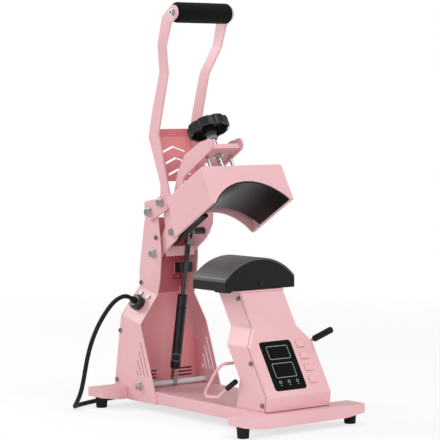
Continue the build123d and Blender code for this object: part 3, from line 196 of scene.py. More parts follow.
def makeStudio(settings):
    world = bpy.data.worlds.new("studio")
    bpy.context.scene.world = world
    world.use_nodes = True
    world.node_tree.nodes.clear()
    tree = Tree(world.node_tree)
    fill = settings["worldFill"]  # what the world gives to everything but the camera's own rays
    strength = tree.add("ShaderNodeLightPath").out("Is Camera Ray") * (1 - fill) + fill
    light = tree.add("ShaderNodeBackground", None, {"Color": colour(1, 1, 1), "Strength": strength})
    tree.add("ShaderNodeOutputWorld", None, {"Surface": light})
    bpy.ops.mesh.primitive_circle_add(vertices=96, radius=settings["floorRadius"], fill_type="NGON")
    floor = bpy.context.object
    floor.name = "studio_floor"
    material, tree = newMaterial("studio_floor")
    tone = settings["floorTone"]
    matt = tree.add("ShaderNodeBsdfDiffuse", None, {"Color": colour(tone, tone, tone)})
    glow = tree.add("ShaderNodeEmission", None, {"Color": colour(1, 1, 1), "Strength": 1.0})
    clear = tree.add("ShaderNodeBsdfTransparent")
    share = tree.add("ShaderNodeLightPath").out("Is Camera Ray") * settings["floorGlow"]
    mixed = tree.add("ShaderNodeMixShader", None, {0: share, 1: matt, 2: glow})
    place = tree.add("ShaderNodeTexCoord").out("Object")
    reach = tree.add("ShaderNodeVectorMath", {"operation": "LENGTH"}, {0: place}, "Value")
    fade = tree.add("ShaderNodeMapRange", {"interpolation_type": "SMOOTHSTEP"},
                    {"Value": reach, "From Min": settings["fadeFrom"], "From Max": settings["fadeTo"]})
    soft = tree.add("ShaderNodeMixShader", None, {0: fade, 1: mixed, 2: clear})
    tree.add("ShaderNodeOutputMaterial", None, {"Surface": soft})
    floor.data.materials.append(material)


makeCamera(cameraPlace)
makeLamps(studio)
makeStudio(studio)
bpy.context.scene.view_settings.view_transform = "Standard"
print("camera and studio")


# finishes

def objectPlace(tree):
    return tree.add("ShaderNodeTexCoord").out("Object")


def bump(tree, height, depth):
    return tree.add("ShaderNodeBump", None, {"Height": height, "Distance": depth, "Strength": 1.0})


coat = {"pink": (0.80, 0.478, 0.502), "deep": (0.77, 0.433, 0.457), "cloud": 9.0, "peel": 900.0,
        "peelDepth": 0.00003, "speck": 0.16, "rough": 0.42, "cloudRough": 0.10, "peelRough": 0.12,
        "clear": 0.12, "clearRough": 0.3,
        # painted shade: deeper pinks painted in by place, where less light reaches: inside the column, above
        # its web's fold, the yoke plate's front
        "inside": (0.82, 0.34, 0.36), "innermost_shade": (0.60, 0.15, 0.175), "recess_shade": (0.70, 0.23, 0.24)}
# sizes of the column, used to place the painted shade inside it
column = {"plate": 0.002, "topHalf": 0.0408, "footHalf": 0.0735, "lowerFold": 0.1127, "upperFold": 0.1654,
          "mouth": 0.142, "depth": 0.173, "foot": 0.0364, "webFold": 0.203,
          "webRear": [(0.217, 0.186), (0.342, 0.1655)]}


def columnShadeDepth(tree):
    # painted shade mask: 0 outside the column, rising to 1 deep inside it, and the same for its part above
    # the web's fold
    split = tree.add("ShaderNodeSeparateXYZ", None, {0: objectPlace(tree)})
    side, back, level = split.out("X").size(), split.out("Y"), split.out("Z")
    half = tree.add("ShaderNodeMapRange", None,
                    {"Value": level, "From Min": column["lowerFold"], "From Max": column["upperFold"],
                     "To Min": column["footHalf"], "To Max": column["topHalf"]})
    (low, lowBack), (high, highBack) = column["webRear"]
    rear = tree.add("ShaderNodeMapRange", None,
                    {"Value": level, "From Min": low, "From Max": high,
                     "To Min": lowBack, "To Max": highBack})
    inside = (half - side).over(0.0) * (level - column["foot"]).over(0.0) * (rear - back).over(0.0)
    depth = tree.add("ShaderNodeMapRange", {"interpolation_type": "SMOOTHSTEP"},
                     {"Value": back, "From Min": column["mouth"], "From Max": column["depth"]})
    share = inside * depth
    return share, share * (level - column["webFold"]).over(0.0)


def frontOf(tree, name):
    # 1 on the forward face of a plate, 0 on its rear face; it places painted shade on that face
    forward = [face for face in nodes[name].data.polygons if face.normal.y < -0.5]
    widest = max(forward, key=lambda face: face.area)
    normal = tuple(widest.normal)
    middle = widest.center.dot(widest.normal) - column["plate"] / 2
    reach = tree.add("ShaderNodeVectorMath", {"operation": "DOT_PRODUCT"},
                     {0: objectPlace(tree), 1: normal}, "Value")
    return reach.over(middle)


def powderCoat(name, shadeInColumn=False, plate=None):
    material, tree = newMaterial(name)
    place = objectPlace(tree)
    cloud = tree.noise(place, coat["cloud"], 3.0)
    grains = tree.noise(place, coat["peel"], 2.0, 0.6)
    patches = tree.ramp(cloud, [(0.35, 0.0), (0.7, 1.0)])
    tone = tree.blendColour(patches, colour(*coat["pink"]), colour(*coat["deep"]))
    speck = tree.ramp(grains, [(0.3, 0.0), (0.75, 1.0)]) * coat["speck"]
    tone = tree.blendColour(speck, tone, colour(*coat["deep"]))
    # painted shade: a deeper pink on the given plate's forward face
    if plate:
        tone = tree.blendColour(frontOf(tree, plate), tone, colour(*coat["recess_shade"]))
    # painted shade: a deeper pink inside the column, deeper still above its web's fold
    if shadeInColumn:
        share, upperShade = columnShadeDepth(tree)
        tone = tree.blendColour(share, tone, colour(*coat["inside"]))
        tone = tree.blendColour(upperShade, tone, colour(*coat["innermost_shade"]))
    evenRough = coat["rough"] - (coat["cloudRough"] + coat["peelRough"]) / 2
    rough = cloud * coat["cloudRough"] + (grains * coat["peelRough"] + evenRough)
    values = {"Base Color": tone, "Roughness": rough, "Coat Weight": coat["clear"],
              "Coat Roughness": coat["clearRough"], "Normal": bump(tree, grains, coat["peelDepth"])}
    return finishMaterial(tree, material, **values)


rubberLook = {"cloud": 14.0, "paler": 1.35, "roughRange": 0.16, "sheenRough": 0.5}


def blackRubber(name, tone, rough, grain, depth, sheen=0.0, shine=0.3):
    material, tree = newMaterial(name)
    place = objectPlace(tree)
    grains = tree.noise(place, grain, 3.0, 0.65)
    cloud = tree.noise(place, rubberLook["cloud"], 2.0)
    pale = rubberLook["paler"] * tone
    shade = tree.blendColour(tree.ramp(cloud, [(0.3, 0.0), (0.8, 1.0)]), colour(tone, tone, tone),
                             colour(pale, pale, pale))
    values = {"Base Color": shade, "Specular IOR Level": shine,
              "Roughness": grains * rubberLook["roughRange"] + (rough - rubberLook["roughRange"] / 2),
              "Normal": bump(tree, grains, depth)}
    if sheen:
        values["Sheen Weight"] = sheen
        values["Sheen Roughness"] = rubberLook["sheenRough"]
    return finishMaterial(tree, material, **values)


metalLook = {"cloud": 40.0, "darker": 0.86, "lineRough": 0.14, "cloudRough": 0.1, "lineDepth": 0.000012}


def metal(name, tone, rough, brushed=(1.0, 1.0, 1.0), grain=700.0):
    material, tree = newMaterial(name)
    stretched = tree.add("ShaderNodeMapping", None, {"Vector": objectPlace(tree), "Scale": brushed})
    lines = tree.noise(stretched, grain, 3.0, 0.6)
    cloud = tree.noise(objectPlace(tree), metalLook["cloud"], 2.0)
    shade = tree.blendColour(tree.ramp(cloud, [(0.3, 0.0), (0.75, 1.0)]), colour(*tone),
                             colour(*[metalLook["darker"] * part for part in tone]))
    evenRough = rough - (metalLook["lineRough"] + metalLook["cloudRough"]) / 2
    values = {"Base Color": shade, "Metallic": 1.0,
              "Roughness": lines * metalLook["lineRough"] + (cloud * metalLook["cloudRough"] + evenRough),
              "Normal": bump(tree, lines, metalLook["lineDepth"])}
    return finishMaterial(tree, material, **values)


glossLook = {"smears": 30.0, "smearRough": 0.1, "dustGrain": 1400.0, "dust": 0.05, "dustTone": 0.4,
             "coatRough": 0.08}


def gloss(name, tone, rough, coatWeight, shine=0.5):
    material, tree = newMaterial(name)
    place = objectPlace(tree)
    smears = tree.noise(place, glossLook["smears"], 3.0)
    grains = tree.noise(place, glossLook["dustGrain"], 1.0)
    dust = tree.ramp(grains, [(0.68, 0.0), (0.78, 1.0)]) * glossLook["dust"]
    grey = glossLook["dustTone"]
    shade = tree.blendColour(dust, colour(*tone), colour(grey, grey, grey))
    values = {"Base Color": shade, "Specular IOR Level": shine, "Coat Weight": coatWeight,
              "Roughness": smears * glossLook["smearRough"] + (rough - glossLook["smearRough"] / 2),
              "Coat Roughness": glossLook["coatRough"]}
    return finishMaterial(tree, material, **values)


def plainMatt(name, tone, rough=0.7):
    material, tree = newMaterial(name)
    grains = tree.noise(objectPlace(tree), 600.0, 2.0)
    shade = tree.blendColour(grains, colour(*tone), colour(*[0.9 * part for part in tone]))
    return finishMaterial(tree, material, **{"Base Color": shade, "Roughness": rough,
                                             "Normal": bump(tree, grains, 0.00001)})


def fibreMat():
    material, tree = newMaterial("mineral_mat")
    strands = tree.noise(objectPlace(tree), 260.0, 5.0, 0.7)
    shade = tree.blendColour(strands, colour(0.55, 0.5, 0.4), colour(0.85, 0.82, 0.74))
    return finishMaterial(tree, material, **{"Base Color": shade, "Roughness": 0.95,
                                             "Normal": bump(tree, strands, 0.0003)})


finishes = {
    "pink_powder_coat": powderCoat("pink_powder_coat"),
    # painted shade: a copy of the coat with deeper pinks inside the column
    "pink_column_painted_shade": powderCoat("pink_column_painted_shade", shadeInColumn=True),
    # painted shade on the yoke plate's forward face
    "pink_recess_painted_shade": powderCoat("pink_recess_painted_shade", plate="yoke_plate"),
    "pink_plastic": gloss("pink_plastic", (0.80, 0.46, 0.45), 0.34, 0.15),
    "zinc_steel": metal("zinc_steel", (0.56, 0.56, 0.55), 0.20, grain=400.0),
    "bright_steel": metal("bright_steel", (0.55, 0.545, 0.54), 0.24, (1.0, 1.0, 0.08), 900.0),
    "worn_steel": metal("worn_steel", (0.26, 0.255, 0.25), 0.34, grain=400.0),
    "satin_steel": gloss("satin_steel", (0.68, 0.74, 0.77), 0.35, 0.2),
    "dark_steel": metal("dark_steel", (0.075, 0.072, 0.075), 0.26, (1.0, 1.0, 0.08), 900.0),
    "brass": metal("brass", (0.72, 0.53, 0.25), 0.3),
    "black_rubber": blackRubber("black_rubber", 0.006, 0.5, 900.0, 0.00003, shine=0.2),
    "black_foam": blackRubber("black_foam", 0.0045, 0.7, 1500.0, 0.00012, sheen=0.04, shine=0.08),
    "black_plastic": blackRubber("black_plastic", 0.009, 0.34, 1200.0, 0.00002, shine=0.5),
    "black_enamel": gloss("black_enamel", (0.008, 0.007, 0.008), 0.25, 0.2, shine=0.25),
    "black_aluminium": blackRubber("black_aluminium", 0.010, 0.46, 1600.0, 0.00003, shine=0.22),
    "grey_silicone": blackRubber("grey_silicone", 0.078, 0.36, 1100.0, 0.00003, shine=0.6),
    "heat_pad": gloss("heat_pad", (0.006, 0.005, 0.005), 0.32, 0.06, shine=0.36),
    "black_window": gloss("black_window", (0.003, 0.003, 0.0032), 0.16, 0.05, shine=0.12),
    "board": gloss("board", (0.02, 0.11, 0.04), 0.4, 0.3),
    "heater_rubber": blackRubber("heater_rubber", 0.12, 0.6, 500.0, 0.00005),
    "mineral_mat": fibreMat(),
    "grey_print": plainMatt("grey_print", (0.33, 0.37, 0.37)),
    "seam_shadow": plainMatt("seam_shadow", (0.22, 0.05, 0.055), 0.9),
}
# the cheeks and rear cover take the column's painted shade, the yoke plate its painted front shade
nodeFinish = {"left_cheek": "pink_column_painted_shade", "right_cheek": "pink_column_painted_shade", "rear_cover": "pink_column_painted_shade",
              "yoke_plate": "pink_recess_painted_shade", "heating_platen": "heat_pad", "strut_foot_shaft": "satin_steel",
              "strut_fork": "worn_steel", "sheet_screws": "worn_steel"}
slotOf = {part["node"]: part["material_slot"] for part in frame["record"]["subparts"]}
for name, node in nodes.items():
    node.data.materials.clear()
    node.data.materials.append(finishes[nodeFinish.get(name, slotOf[name])])
print("finishes on", len(nodes), "nodes")


# mesh helpers

def addPiece(name, mesh, body, slot, finish=None):
    # a finished piece: own mesh at the origin, its material, its body
    if not mesh.materials:
        mesh.materials.append(finishes[finish or slot])
    piece = bpy.data.objects.new(name, mesh)
    bpy.context.scene.collection.objects.link(piece)
    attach(piece, body)
    return piece


def meshFrom(build, name):
    work = bmesh.new()
    build(work)
    bmesh.ops.recalc_face_normals(work, faces=work.faces)
    mesh = bpy.data.meshes.new(name)
    work.to_mesh(mesh)
    work.free()
    mesh.shade_smooth()
    return mesh


def applied(piece):
    # the evaluated mesh, with no modifier left
    depsgraph = bpy.context.evaluated_depsgraph_get()
    return bpy.data.meshes.new_from_object(piece.evaluated_get(depsgraph))


def shapeTree(name, inputs):
    # an empty shape tree: geometry in and out, and named sizes
    group = bpy.data.node_groups.new(name, "GeometryNodeTree")
    group.interface.new_socket("Geometry", in_out="INPUT", socket_type="NodeSocketGeometry")
    for label, kind in inputs.items():
        group.interface.new_socket(label, in_out="INPUT", socket_type="NodeSocket" + kind)
    group.interface.new_socket("Geometry", in_out="OUTPUT", socket_type="NodeSocketGeometry")
    tree = Tree(group)
    return group, tree, tree.add("NodeGroupInput")


def finishShape(tree, geometry, finish):
    whole = tree.add("GeometryNodeRealizeInstances", None, {0: geometry})
    painted = tree.add("GeometryNodeSetMaterial", None, {0: whole, 2: finishes[finish]})
    tree.add("NodeGroupOutput", None, {0: painted})


def grown(group, sizes, start=None, place=None, sharp=35.0):
    # the tree's result as a plain mesh, put in its place
    holder = bpy.data.objects.new(group.name, start or bpy.data.meshes.new(group.name))
    bpy.context.scene.collection.objects.link(holder)
    modifier = holder.modifiers.new("shape", "NODES")
    modifier.node_group = group
    for item in group.interface.items_tree:
        if item.in_out == "INPUT" and item.name in sizes:
            modifier[item.identifier] = sizes[item.name]
    mesh = applied(holder)
    bpy.data.objects.remove(holder)
    if place is not None:
        mesh.transform(place)
    mesh.shade_smooth()
    mesh.set_sharp_from_angle(angle=radians(sharp))
    return mesh


def polyline(name, points, closed=False):
    mesh = bpy.data.meshes.new(name)
    edges = [(index, index + 1) for index in range(len(points) - 1)]
    if closed:
        edges.append((len(points) - 1, 0))
    mesh.from_pydata([Vector(point) for point in points], edges, [])
    return mesh


def frameOf(origin, across, up, normal):
    # a matrix from a drawing plane's own axes to the part's axes
    columns = Matrix((across, up, normal)).transposed().to_4x4()
    return Matrix.Translation(origin) @ columns


# joined sharp edges no longer than smallHole in all, such as a small hole's rim, stay sharp
rounding = {"width": 0.0004, "steps": 2, "sharp": 32.0, "smallHole": 0.052, "merge": 2e-6, "flat": 0.5}


def isSharp(edge, limit):
    return len(edge.link_faces) == 2 and edge.calc_face_angle(0) > limit


def softened(name, width=None, steps=None):
    # the node's own shape with its folded and cut edges slightly rounded
    width = width or rounding["width"]
    work = bmesh.new()
    work.from_mesh(nodes[name].data)
    bmesh.ops.remove_doubles(work, verts=work.verts, dist=rounding["merge"])
    bmesh.ops.dissolve_limit(work, angle_limit=radians(rounding["flat"]), verts=work.verts, edges=work.edges)
    limit = radians(rounding["sharp"])
    sharp = [edge for edge in work.edges if isSharp(edge, limit)]
    groupOf = {}
    for edge in sharp:
        if edge in groupOf:
            continue
        group, waiting = [], [edge]
        groupOf[edge] = group
        while waiting:
            current = waiting.pop()
            group.append(current)
            for corner in current.verts:
                for other in corner.link_edges:
                    if other not in groupOf and isSharp(other, limit):
                        groupOf[other] = group
                        waiting.append(other)
    chosen = [edge for edge in sharp
              if sum(one.calc_length() for one in groupOf[edge]) > rounding["smallHole"]]
    bmesh.ops.bevel(work, geom=chosen, offset=width, segments=steps or rounding["steps"], profile=0.5,
                    affect="EDGES", clamp_overlap=False)
    for edge in work.edges:
        edge.smooth = len(edge.link_faces) == 2 and edge.calc_face_angle(0) < limit
    for face in work.faces:
        face.smooth = True
    mesh = bpy.data.meshes.new(name + "_finish")
    work.to_mesh(mesh)
    work.free()
    mesh.materials.append(finishes[nodeFinish.get(name, slotOf[name])])
    trial = bpy.data.objects.new(name + "_trial", mesh)
    bpy.context.scene.collection.objects.link(trial)
    even = trial.modifiers.new("even", "WEIGHTED_NORMAL")
    even.keep_sharp = True
    final = applied(trial)
    bpy.data.objects.remove(trial)
    piece = addPiece(name + "_finish", final, nodes[name]["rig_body"], slotOf[name])
    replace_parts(piece, name)
    return piece


# mains cord

mainsCord = {"radius": 0.004, "length": 1.81,
             "route": [(-0.1015, 0.1655, 0.2028), (-0.118, 0.166, 0.1935), (-0.134, 0.167, 0.176),
                       (-0.149, 0.1685, 0.1535), (-0.1605, 0.170, 0.129), (-0.1685, 0.1715, 0.1035),
                       (-0.1735, 0.173, 0.0775), (-0.1765, 0.176, 0.0535), (-0.1775, 0.184, 0.0315),
                       (-0.1765, 0.198, 0.0145), (-0.170, 0.2155, 0.0052), (-0.154, 0.2315, 0.004),
                       (-0.131, 0.2435, 0.004), (-0.1055, 0.253, 0.004), (-0.079, 0.261, 0.004),
                       (-0.052, 0.268, 0.004), (-0.025, 0.2735, 0.004), (0.003, 0.2775, 0.004),
                       (0.029, 0.280, 0.004), (0.053, 0.280, 0.004)],
             "start": (-0.0767, 0.1672, 0.1983), "firstCorner": (-0.0860, 0.1658, 0.2039),
             "coilCentre": (0.098, 0.330), "outerTurn": 0.050, "innerTurn": 0.0414,
             "low": 0.004, "high": 0.012,
             "turns": 4.25, "pointsPerTurn": 20, "inwardTurns": (0.85, 1.15), "climbTurns": (1.95, 2.25),
             "outwardTurns": (3.05, 3.35), "tail": 0.012, "end": (0.148, 0.379, 0.012)}


def eased(value, start, end):
    share = min(1.0, max(0.0, (value - start) / (end - start)))
    return share * share * (3 - 2 * share)


def coilPoints(cord):
    # a turn outside, one inside it, then a second layer, inside first and out over the first turn
    points = []
    x, y = cord["coilCentre"]
    steps = int(cord["turns"] * cord["pointsPerTurn"])
    for step in range(1, steps):
        turn = step / cord["pointsPerTurn"]
        angle = 2 * pi * (turn - 0.25)
        inward = eased(turn, *cord["inwardTurns"]) - eased(turn, *cord["outwardTurns"])
        radius = cord["outerTurn"] + (cord["innerTurn"] - cord["outerTurn"]) * inward
        height = cord["low"] + (cord["high"] - cord["low"]) * eased(turn, *cord["climbTurns"])
        points.append((x + radius * cos(angle), y + radius * sin(angle), height))
    return points


def makeCord(cord):
    points = [cord["start"], cord["firstCorner"]] + cord["route"]
    points += [(cord["coilCentre"][0], cord["coilCentre"][1] - cord["outerTurn"], cord["low"])]
    points += coilPoints(cord)
    points += [(cord["end"][0], cord["coilCentre"][1] + cord["tail"], cord["high"]), cord["end"]]
    data = bpy.data.curves.new("mains_cord", "CURVE")
    data.dimensions = "3D"
    spline = data.splines.new("NURBS")
    spline.points.add(len(points) - 1)
    for point, place in zip(spline.points, points):
        point.co = (*place, 1.0)
    spline.order_u = 3
    spline.use_endpoint_u = True
    spline.resolution_u = 6
    data.bevel_depth = cord["radius"]
    data.bevel_resolution = 4
    data.materials.append(finishes["black_rubber"])
    piece = bpy.data.objects.new("mains_cord", data)
    bpy.context.scene.collection.objects.link(piece)
    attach(piece, "frame")
    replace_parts(piece, "power_cord", "cord_coil")
    return piece


cordPiece = makeCord(mainsCord)
plugPieces = [softened(name, 0.0008, 3) for name in ("power_plug", "plug_pins")]
reliefPiece = softened("strain_relief", 0.0005)
print("cord")

# sheet metal and hardware that keep their own shapes

sheetPieces = ["base_frame", "left_cheek", "right_cheek", "rear_cover", "housing_shell", "front_panel",
               "neck_plate", "head_cover", "left_arm_plate", "right_arm_plate", "arm_web", "cross_plate",
               "left_handle_arm", "right_handle_arm", "yoke_plate", "toggle_links"]
for name in sheetPieces:
    softened(name)
print("sheet metal")

hardware = {"arm_pivot_bolts": 0.0006, "handle_pivot_bolts": 0.0006, "foot_shaft_bolts": 0.0006,
            "crank_bolts": 0.0006, "grip_bolts": 0.0005, "sheet_screws": 0.0005, "strut_foot_eye": 0.0006,
            "platen_bolts": 0.0004, "strut_foot_shaft": 0.0006, "link_shaft": 0.0005, "strut_fork": 0.0006,
            "strut_rod": 0.0003, "strut_cylinder": 0.0007, "rod_sleeve": 0.0004, "cable_gland": 0.0006,
            "limit_switch": 0.0004, "guide_rods": 0.0004, "screw_nut": 0.0003,
            "pressure_knob": 0.0009, "rubber_feet": 0.0008, "wire_grips": 0.0012, "lower_platen": 0.0006,
            "silicone_pad": 0.0008, "heating_platen": 0.0006, "display_window": 0.0003,
            "hold_down_wire": 0.0004,
            "button_1": 0.0003, "button_2": 0.0003, "button_3": 0.0003, "button_4": 0.0003}
for name, width in hardware.items():
    softened(name, width, 3)
print("hardware")

# frames of the head, the sloping face and the strut

axes = {"openAngle": 30, "armPivot": (0, 0.146, 0.279), "screwBack": -0.208,
        "faceRun": 0.1008, "faceRise": 0.1665, "faceFoot": -0.2142, "faceMiddle": 0.048, "faceLevel": 0.109,
        "strutFoot": (0, 0.145, 0.0425), "strutTop": (0, 0.094, 0.320)}
openAngle = radians(axes["openAngle"])
sideways = Vector((1, 0, 0))
headUp = Vector((0, sin(openAngle), cos(openAngle)))
headBack = Vector((0, cos(openAngle), -sin(openAngle)))
armPivot = Vector(axes["armPivot"])


def headPlace(side, back, level):
    # a place in the head's own axes, counted from the arm's pivot
    return armPivot + Vector((side, 0, 0)) + headBack * back + headUp * level


screwFrame = frameOf(headPlace(0, axes["screwBack"], 0), sideways, headBack, headUp)
faceUp = Vector((0, axes["faceRun"], axes["faceRise"])).normalized()
faceOut = Vector((0, -faceUp.z, faceUp.y))
faceFront = axes["faceFoot"] + axes["faceMiddle"] * axes["faceRun"] / axes["faceRise"]
faceFrame = frameOf(Vector((0, faceFront, axes["faceLevel"])), sideways, faceUp, faceOut)
strutFoot = Vector(axes["strutFoot"])
strutUp = (Vector(axes["strutTop"]) - strutFoot).normalized()
strutFrame = frameOf(strutFoot, sideways, strutUp.cross(sideways), strutUp)


# pressure screw, with its thread

pressureScrew = {"foot": 0.026, "top": 0.1495, "radius": 0.006, "threadDepth": 0.0004, "pitch": 0.002,
                 "threadFrom": 0.0385, "threadTo": 0.1165, "stepsPerTurn": 22, "ridgeSides": 4,
                 "collarFrom": 0.0332, "collarWall": 0.003, "collarRadius": 0.0095,
                 "nutFrom": 0.1165, "nutHeight": 0.012, "nutFlats": 0.018}


def threadTree():
    group, tree, given = shapeTree("pressure_thread", {"Core": "Float", "Ridge": "Float", "Turns": "Float",
                                                       "Rise": "Float", "From": "Float"})
    path = tree.add("GeometryNodeCurveSpiral", None,
                    {0: pressureScrew["stepsPerTurn"], 1: given.out("Turns"), 2: given.out("Core"),
                     3: given.out("Core"), 4: given.out("Rise")})
    ridge = tree.add("GeometryNodeCurvePrimitiveCircle", None,
                     {0: pressureScrew["ridgeSides"], 4: given.out("Ridge")})
    thread = tree.add("GeometryNodeCurveToMesh", None, {0: path, 1: ridge, 3: True})
    lift = tree.add("ShaderNodeCombineXYZ", None, {2: given.out("From")})
    finishShape(tree, tree.add("GeometryNodeTransform", None, {0: thread, 1: lift}), "bright_steel")
    return group


def addDrum(work, radius, low, high, sides=40, turn=0.0):
    place = Matrix.Translation((0, 0, (low + high) / 2)) @ Matrix.Rotation(turn, 4, "Z")
    bmesh.ops.create_cone(work, cap_ends=True, segments=sides, radius1=radius, radius2=radius,
                          depth=high - low, matrix=place)


def screwCore(work):
    screw = pressureScrew
    core = screw["radius"] - screw["threadDepth"]
    addDrum(work, core, screw["foot"], screw["top"])
    addDrum(work, screw["collarRadius"], screw["collarFrom"], screw["collarFrom"] + screw["collarWall"])
    corner = screw["nutFlats"] / 2 / cos(pi / 6)
    addDrum(work, corner, screw["nutFrom"], screw["nutFrom"] + screw["nutHeight"], sides=6, turn=pi / 6)
    bmesh.ops.transform(work, matrix=screwFrame, verts=work.verts)


def makePressureScrew(screw):
    core = meshFrom(screwCore, "pressure_screw_core")
    core.set_sharp_from_angle(angle=radians(30))
    addPiece("pressure_screw_core", core, "screw", "bright_steel")
    rise = screw["threadTo"] - screw["threadFrom"]
    sizes = {"Core": screw["radius"] - screw["threadDepth"], "Ridge": screw["threadDepth"],
             "Turns": rise / screw["pitch"], "Rise": rise, "From": screw["threadFrom"]}
    mesh = grown(threadTree(), sizes, place=screwFrame, sharp=80.0)
    thread = addPiece("pressure_screw_thread", mesh, "screw", "bright_steel")
    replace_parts(thread, "pressure_screw")


makePressureScrew(pressureScrew)
print("pressure screw")

# ribs on the knob's lobes

knobRibs = {"slots": 120, "perLobe": 15, "ribsOnLobe": 7, "radius": 0.0371, "radial": 0.0010, "wide": 0.0009,
            "tall": 0.0125, "middle": 0.141}


def ribTree():
    group, tree, given = shapeTree("knob_ribs", {"Slots": "Int", "Per lobe": "Int", "Ribs": "Int",
                                                 "Radius": "Float", "Rib size": "Vector", "Middle": "Float"})
    ringOfPlaces = tree.add("GeometryNodeMeshCircle", None, {0: given.out("Slots"), 1: given.out("Radius")})
    index = tree.add("GeometryNodeInputIndex")
    shifted = (index + (given.out("Ribs") - 1) * 0.5).maths("MODULO", given.out("Per lobe"))
    onLobe = shifted.maths("LESS_THAN", given.out("Ribs"))
    turn = tree.add("ShaderNodeCombineXYZ", None, {2: index * (2 * pi) / given.out("Slots")})
    turn = tree.add("FunctionNodeEulerToRotation", None, {0: turn})
    rib = tree.add("GeometryNodeMeshCube", None, {0: given.out("Rib size")})
    ribs = tree.add("GeometryNodeInstanceOnPoints", None, {0: ringOfPlaces, 1: onLobe, 2: rib, 5: turn})
    lift = tree.add("ShaderNodeCombineXYZ", None, {2: given.out("Middle")})
    finishShape(tree, tree.add("GeometryNodeTransform", None, {0: ribs, 1: lift}), "black_plastic")
    return group


ribSizes = {"Slots": knobRibs["slots"], "Per lobe": knobRibs["perLobe"], "Ribs": knobRibs["ribsOnLobe"],
            "Radius": knobRibs["radius"], "Middle": knobRibs["middle"],
            "Rib size": (knobRibs["radial"], knobRibs["wide"], knobRibs["tall"])}
addPiece("knob_ribs", grown(ribTree(), ribSizes, place=screwFrame), "screw", "black_plastic")
print("knob ribs")

# heater cable in a ribbed sleeve, inside the left arm plate

heaterCable = {"side": -0.022,
               "route": [(-0.150, -0.0015), (-0.046, -0.002), (-0.0325, 0.0042), (-0.014, 0.0065)],
               "bend": 0.020, "bendSteps": 6, "core": 0.0040, "sides": 18, "ridge": 0.0006, "ridgeSides": 6,
               "ridgeRadius": 0.0039, "step": 0.0026}


def sleeveTree():
    group, tree, given = shapeTree("heater_sleeve", {"Bend": "Float", "Core": "Float", "Ridge": "Float",
                                                     "Ridge radius": "Float", "Step": "Float"})
    path = tree.add("GeometryNodeMeshToCurve", None, {0: given.out("Geometry")})
    path = tree.add("GeometryNodeFilletCurve", {"mode": "POLY"},
                    {0: path, 1: heaterCable["bendSteps"], 2: given.out("Bend")})
    wall = tree.add("GeometryNodeCurvePrimitiveCircle", None, {0: heaterCable["sides"], 4: given.out("Core")})
    tube = tree.add("GeometryNodeCurveToMesh", None, {0: path, 1: wall, 3: True})
    places = tree.add("GeometryNodeResampleCurve", {"mode": "LENGTH"}, {0: path, 3: given.out("Step")})
    ringPath = tree.add("GeometryNodeCurvePrimitiveCircle", None,
                        {0: heaterCable["sides"], 4: given.out("Ridge radius")})
    ringWall = tree.add("GeometryNodeCurvePrimitiveCircle", None,
                        {0: heaterCable["ridgeSides"], 4: given.out("Ridge")})
    ridge = tree.add("GeometryNodeCurveToMesh", None, {0: ringPath, 1: ringWall})
    facing = tree.add("FunctionNodeAlignRotationToVector", {"axis": "Z"},
                      {2: tree.add("GeometryNodeInputTangent")})
    ridges = tree.add("GeometryNodeInstanceOnPoints", None, {0: places, 2: ridge, 5: facing})
    both = tree.add("GeometryNodeJoinGeometry", None, {0: tube})
    tree.nodeTree.links.new(ridges.socket, both.socket.node.inputs[0])
    finishShape(tree, both, "black_plastic")
    return group


def makeHeaterCable(cable):
    points = [headPlace(cable["side"], back, level) for back, level in cable["route"]]
    sizes = {"Bend": cable["bend"], "Core": cable["core"], "Ridge": cable["ridge"],
             "Ridge radius": cable["ridgeRadius"], "Step": cable["step"]}
    mesh = grown(sleeveTree(), sizes, start=polyline("heater_route", points), sharp=60.0)
    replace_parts(addPiece("heater_sleeve", mesh, "arm", "black_plastic"), "heater_cable")


makeHeaterCable(heaterCable)
print("heater cable")

# lines that follow a path: the painted shadow in the panel's seams and the display's frames


lineSteps = {"corner": 5, "around": 8}


def lineTree(finish):
    group, tree, given = shapeTree("line_" + finish, {"Radius": "Float", "Corner": "Float", "Flat": "Float"})
    path = tree.add("GeometryNodeMeshToCurve", None, {0: given.out("Geometry")})
    path = tree.add("GeometryNodeFilletCurve", {"mode": "POLY"},
                    {0: path, 1: lineSteps["corner"], 2: given.out("Corner"), 3: True})
    profile = tree.add("GeometryNodeCurvePrimitiveCircle", None,
                       {0: lineSteps["around"], 4: given.out("Radius")})
    line = tree.add("GeometryNodeCurveToMesh", None, {0: path, 1: profile, 3: True})
    flat = tree.add("ShaderNodeCombineXYZ", None, {0: 1.0, 1: 1.0, 2: given.out("Flat")})
    finishShape(tree, tree.add("GeometryNodeTransform", None, {0: line, 3: flat}), finish)
    return group


# painted shadow: thin dark lines laid along the gaps beside and under the front panel
panelSeamShadow = {"radius": 0.0004, "back": 0.0081, "footDrop": 0.0006,
             "halves": [(0.0455, -0.1134, 0.2270), (0.0455, -0.1488, 0.1690), (0.0673, -0.16577, 0.1410),
                        (0.0673, -0.2142, 0.0610), (0.0673, -0.2110, 0.0376)]}


def makePanelSeamShadow(seam):
    tree = lineTree("seam_shadow")
    sizes = {"Radius": seam["radius"], "Corner": 0.0, "Flat": 1.0}
    for name, side in (("left", -1), ("right", 1)):
        points = [(side * half, y + seam["back"], z) for half, y, z in seam["halves"]]
        mesh = grown(tree, sizes, start=polyline("seam", points))
        addPiece("panel_seam_" + name, mesh, "frame", "pink_powder_coat")
    half, front, foot = seam["halves"][-1]
    level = foot - seam["footDrop"]
    points = [(-half, front + seam["back"], level), (-half, front, level),
              (half, front, level), (half, front + seam["back"], level)]
    mesh = grown(tree, sizes, start=polyline("foot", points))
    addPiece("panel_foot_shadow", mesh, "frame", "pink_powder_coat")


